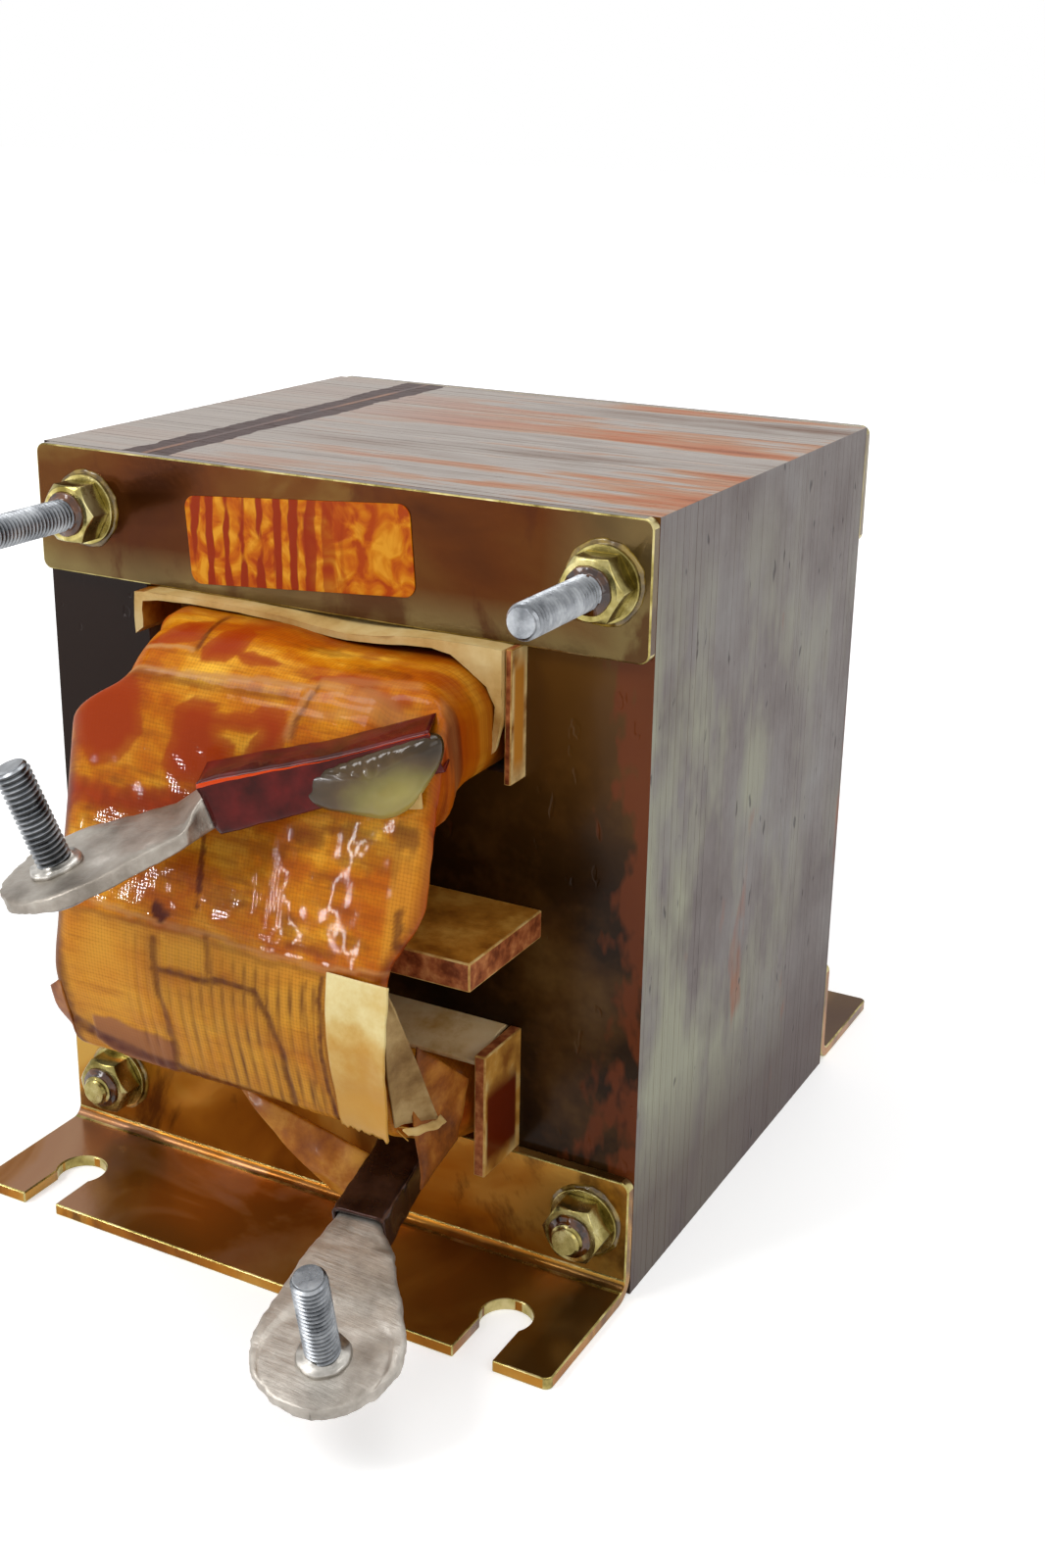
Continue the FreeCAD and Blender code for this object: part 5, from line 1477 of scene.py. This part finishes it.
# Putting it together

def finishes():
    """Every finish of the object, under a short name."""
    look = SimpleNamespace(core=core_material(), plate=plate_material(), label=label_material(),
                           tape=tape_material(), adhesive=adhesive_material())
    # Plated steel. Its edges are pale straw with a soft glint: partly wear where the dip ran off, partly a
    # painted highlight.
    look.worn = metal_material("worn_and_highlit_zinc_edge", ("#6f6030", "#a89a5c", "#cbbd88"), 0.2, 0.35, 1.43, 0.1)
    # Nuts and washers are greenish gold and glint on every flat.
    look.nut = metal_material("yellow_zinc_nut", ("#6d602c", "#a0935a", "#c4ba86"), 0.16, 0.32, 2.0, 0.2)
    # Rolled threads are bluish grey, bright on the crests and darker in the grooves.
    look.bright = metal_material("bright_zinc_thread", ("#66696d", "#8e9195", "#b4b7ba"), 0.2, 0.42, 1.43,
                                 0.15, "#2c2a28")
    # Tin wiped over copper is dull and warm, and paler where it was scraped.
    look.tin = tinned_material("wiped_tin_over_copper", "#7c746a", "#9a9288", "#ada69c", "#ccc6bd")
    look.scraped = tinned_material("scraped_tin_over_copper", "#8d877e", "#aea79e", "#c2bcb3", "#dcd7cf")
    # Solder is the whitest metal, satin and lumpy.
    look.solder = metal_material("white_solder", ("#8f8b83", "#b9b5ae", "#dedad3"), 0.25, 0.5, 2.0, 0.4)
    # Varnish beads are deep brown round the bolts, and clear gold where they are thin.
    look.varnish = varnish_material("dried_amber_varnish", "#2e1204", "#6a3a0c")
    look.golden = varnish_material("golden_varnish_bead", "#5a4210", "#a08434")
    # Pressboard is matte cream with a soft mottle. Where the window shades it, a paler copy paints light over
    # that shade.
    look.cream = board_material("calendered_pressboard", ("#b58a48", "#d2b070", "#e0c88e"), 0.55, 26.3)
    look.pale_cream = board_material("lightened_pressboard", ("#c89a54", "#ecd09a", "#f6e2b8"), 0.55, 26.3)
    look.stained = board_material("varnish_stained_board", ("#2e1206", "#4a1f0c", "#7a4a24"), 0.35)
    # Papers: soaked ones are amber with a sheen, dry ones matte beige, and scorched ones brown.
    look.amber = board_material("varnished_paper", ("#7a3a06", "#a86214", "#cc9036"), 0.3, coat=0.12)
    look.beige = board_material("torn_insulating_paper", ("#75552e", "#967648", "#b89a68"), 0.5)
    look.browned = board_material("browned_paper", ("#50260a", "#8c4c16", "#b8782e"), 0.4, 20.0, 0.04)
    # Resin board is honey brown with a sheen, red-brown and open where it was sawn, pale where rubbed.
    look.resin_board = board_material("phenolic_paper_board", ("#8a5216", "#b87a2a", "#d8a048"), 0.3, 14.3,
                                      0.1)
    look.sawn = board_material("sawn_resin_board_edge", ("#6a3218", "#9c5630", "#c4804c"), 0.45, 4.55)
    look.pale_edge = board_material("rubbed_resin_board_edge", ("#9c6a30", "#bf9350", "#d8b878"), 0.45, 6.25)
    # The bare end of the glass tape is pale straw, and amber towards its lower end.
    look.pale_tape = board_material("pale_glass_tape", ("#cc9c48", "#dec078", "#ecdca2"), 0.3, 25.0, 0.12,
                                    (0.086, 0.064, "#c88f34"))
    look.upper_board = window_board_material("upper_window_board", "#f0d090", "#cc8630", 0.0706, 0.0024,
                                             0.144, 0.0145)
    look.lower_board = window_board_material("lower_window_board", "#c08a3c", "#5e1c04", 0.0762, 0.0072,
                                             0.0445, 0.0115)
    # The upper sleeve is wine red with a fiery painted highlight streak, the lower one was blackened by heat
    # and has a faint painted highlight streak.
    look.red = sleeve_material("red_varnished_sleeving", "#300606", "#641414", "#d8440c")
    look.black = sleeve_material("blackened_sleeving", "#170d0a", "#38241a", "#4a3020")
    return look


def core_and_clamps(nodes, look):
    """The stacks of sheets with the board in their gap, what clamps them apart from the bolts, and the
    label."""
    dress(nodes, look.core, "e_core_stack", "i_core_stack")
    dress(nodes, look.stained, "air_gap_spacer")
    dress(nodes, look.cream, "bolt_insulating_tubes")
    e_sheet, i_sheet = sheet_outlines()
    sheet_stack("e_sheets", e_sheet, 2.0, look.core, "e_core_stack")
    sheet_stack("i_sheets", i_sheet, 9.0, look.core, "i_core_stack")
    for name in ("front_clamp_plate", "rear_clamp_plate", "front_foot_angle", "rear_foot_angle"):
        softened(nodes, name, 0.35, look.plate, (look.worn,), slanted)
    for name in ("clamp_nuts", "front_washers", "rear_washers"):
        softened(nodes, name, 0.25, look.nut)
    softened(nodes, "rating_label", 0.12, look.label)


def boards(nodes, look):
    """The boards and liners in the windows. A board's broad faces lie across X in the windows and across
    Z where it wedges the coil."""
    for name, width, board, broad in (
        ("upper_window_board", 0.3, look.upper_board, 0), ("lower_window_board", 0.4, look.lower_board, 0),
        ("front_spacer_board", 0.4, look.resin_board, 2), ("rear_spacer_board", 0.4, look.resin_board, 2),
    ):
        softened(nodes, name, width, board, (look.pale_edge, look.sawn), sawn_ends(broad))
    # Painted light: the lower liner, which the window shades, gets the paler copy of the pressboard.
    softened(nodes, "lower_window_liner", 0.3, look.pale_cream)
    upper_liner(look.cream, look.amber)


def leads(look):
    """Both leads with their lugs, sleeves and studs, and the adhesive on the upper one."""
    lead_and_lug(UPPER, look.tin)
    lead_and_lug(LOWER, look.scraped)
    hidden_root = UPPER.root + (UPPER.root - UPPER.neck).normalized() * 7
    sleeve(UPPER, hidden_root, 2.2, 0.2, look.red)
    sleeve(LOWER, LOWER.root, 0.8, 0.35, look.black)
    adhesive_drop(UPPER, look.adhesive)
    for lead in (UPPER, LOWER):
        terminal(lead, look.bright, look.solder)


def main():
    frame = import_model()
    nodes = frame["nodes"]
    bpy.context.scene.view_settings.view_transform = "Standard"
    look = finishes()
    core_and_clamps(nodes, look)
    boards(nodes, look)
    for place in ("upper_left", "upper_right", "lower_left", "lower_right"):
        metal = look.bright if place.startswith("upper") else look.nut
        clamp_bolt(nodes, place, metal, look.varnish, look.golden)
    coil_wrap(look.tape)
    papers(look)
    leads(look)
    photo_camera()
    studio()


main()
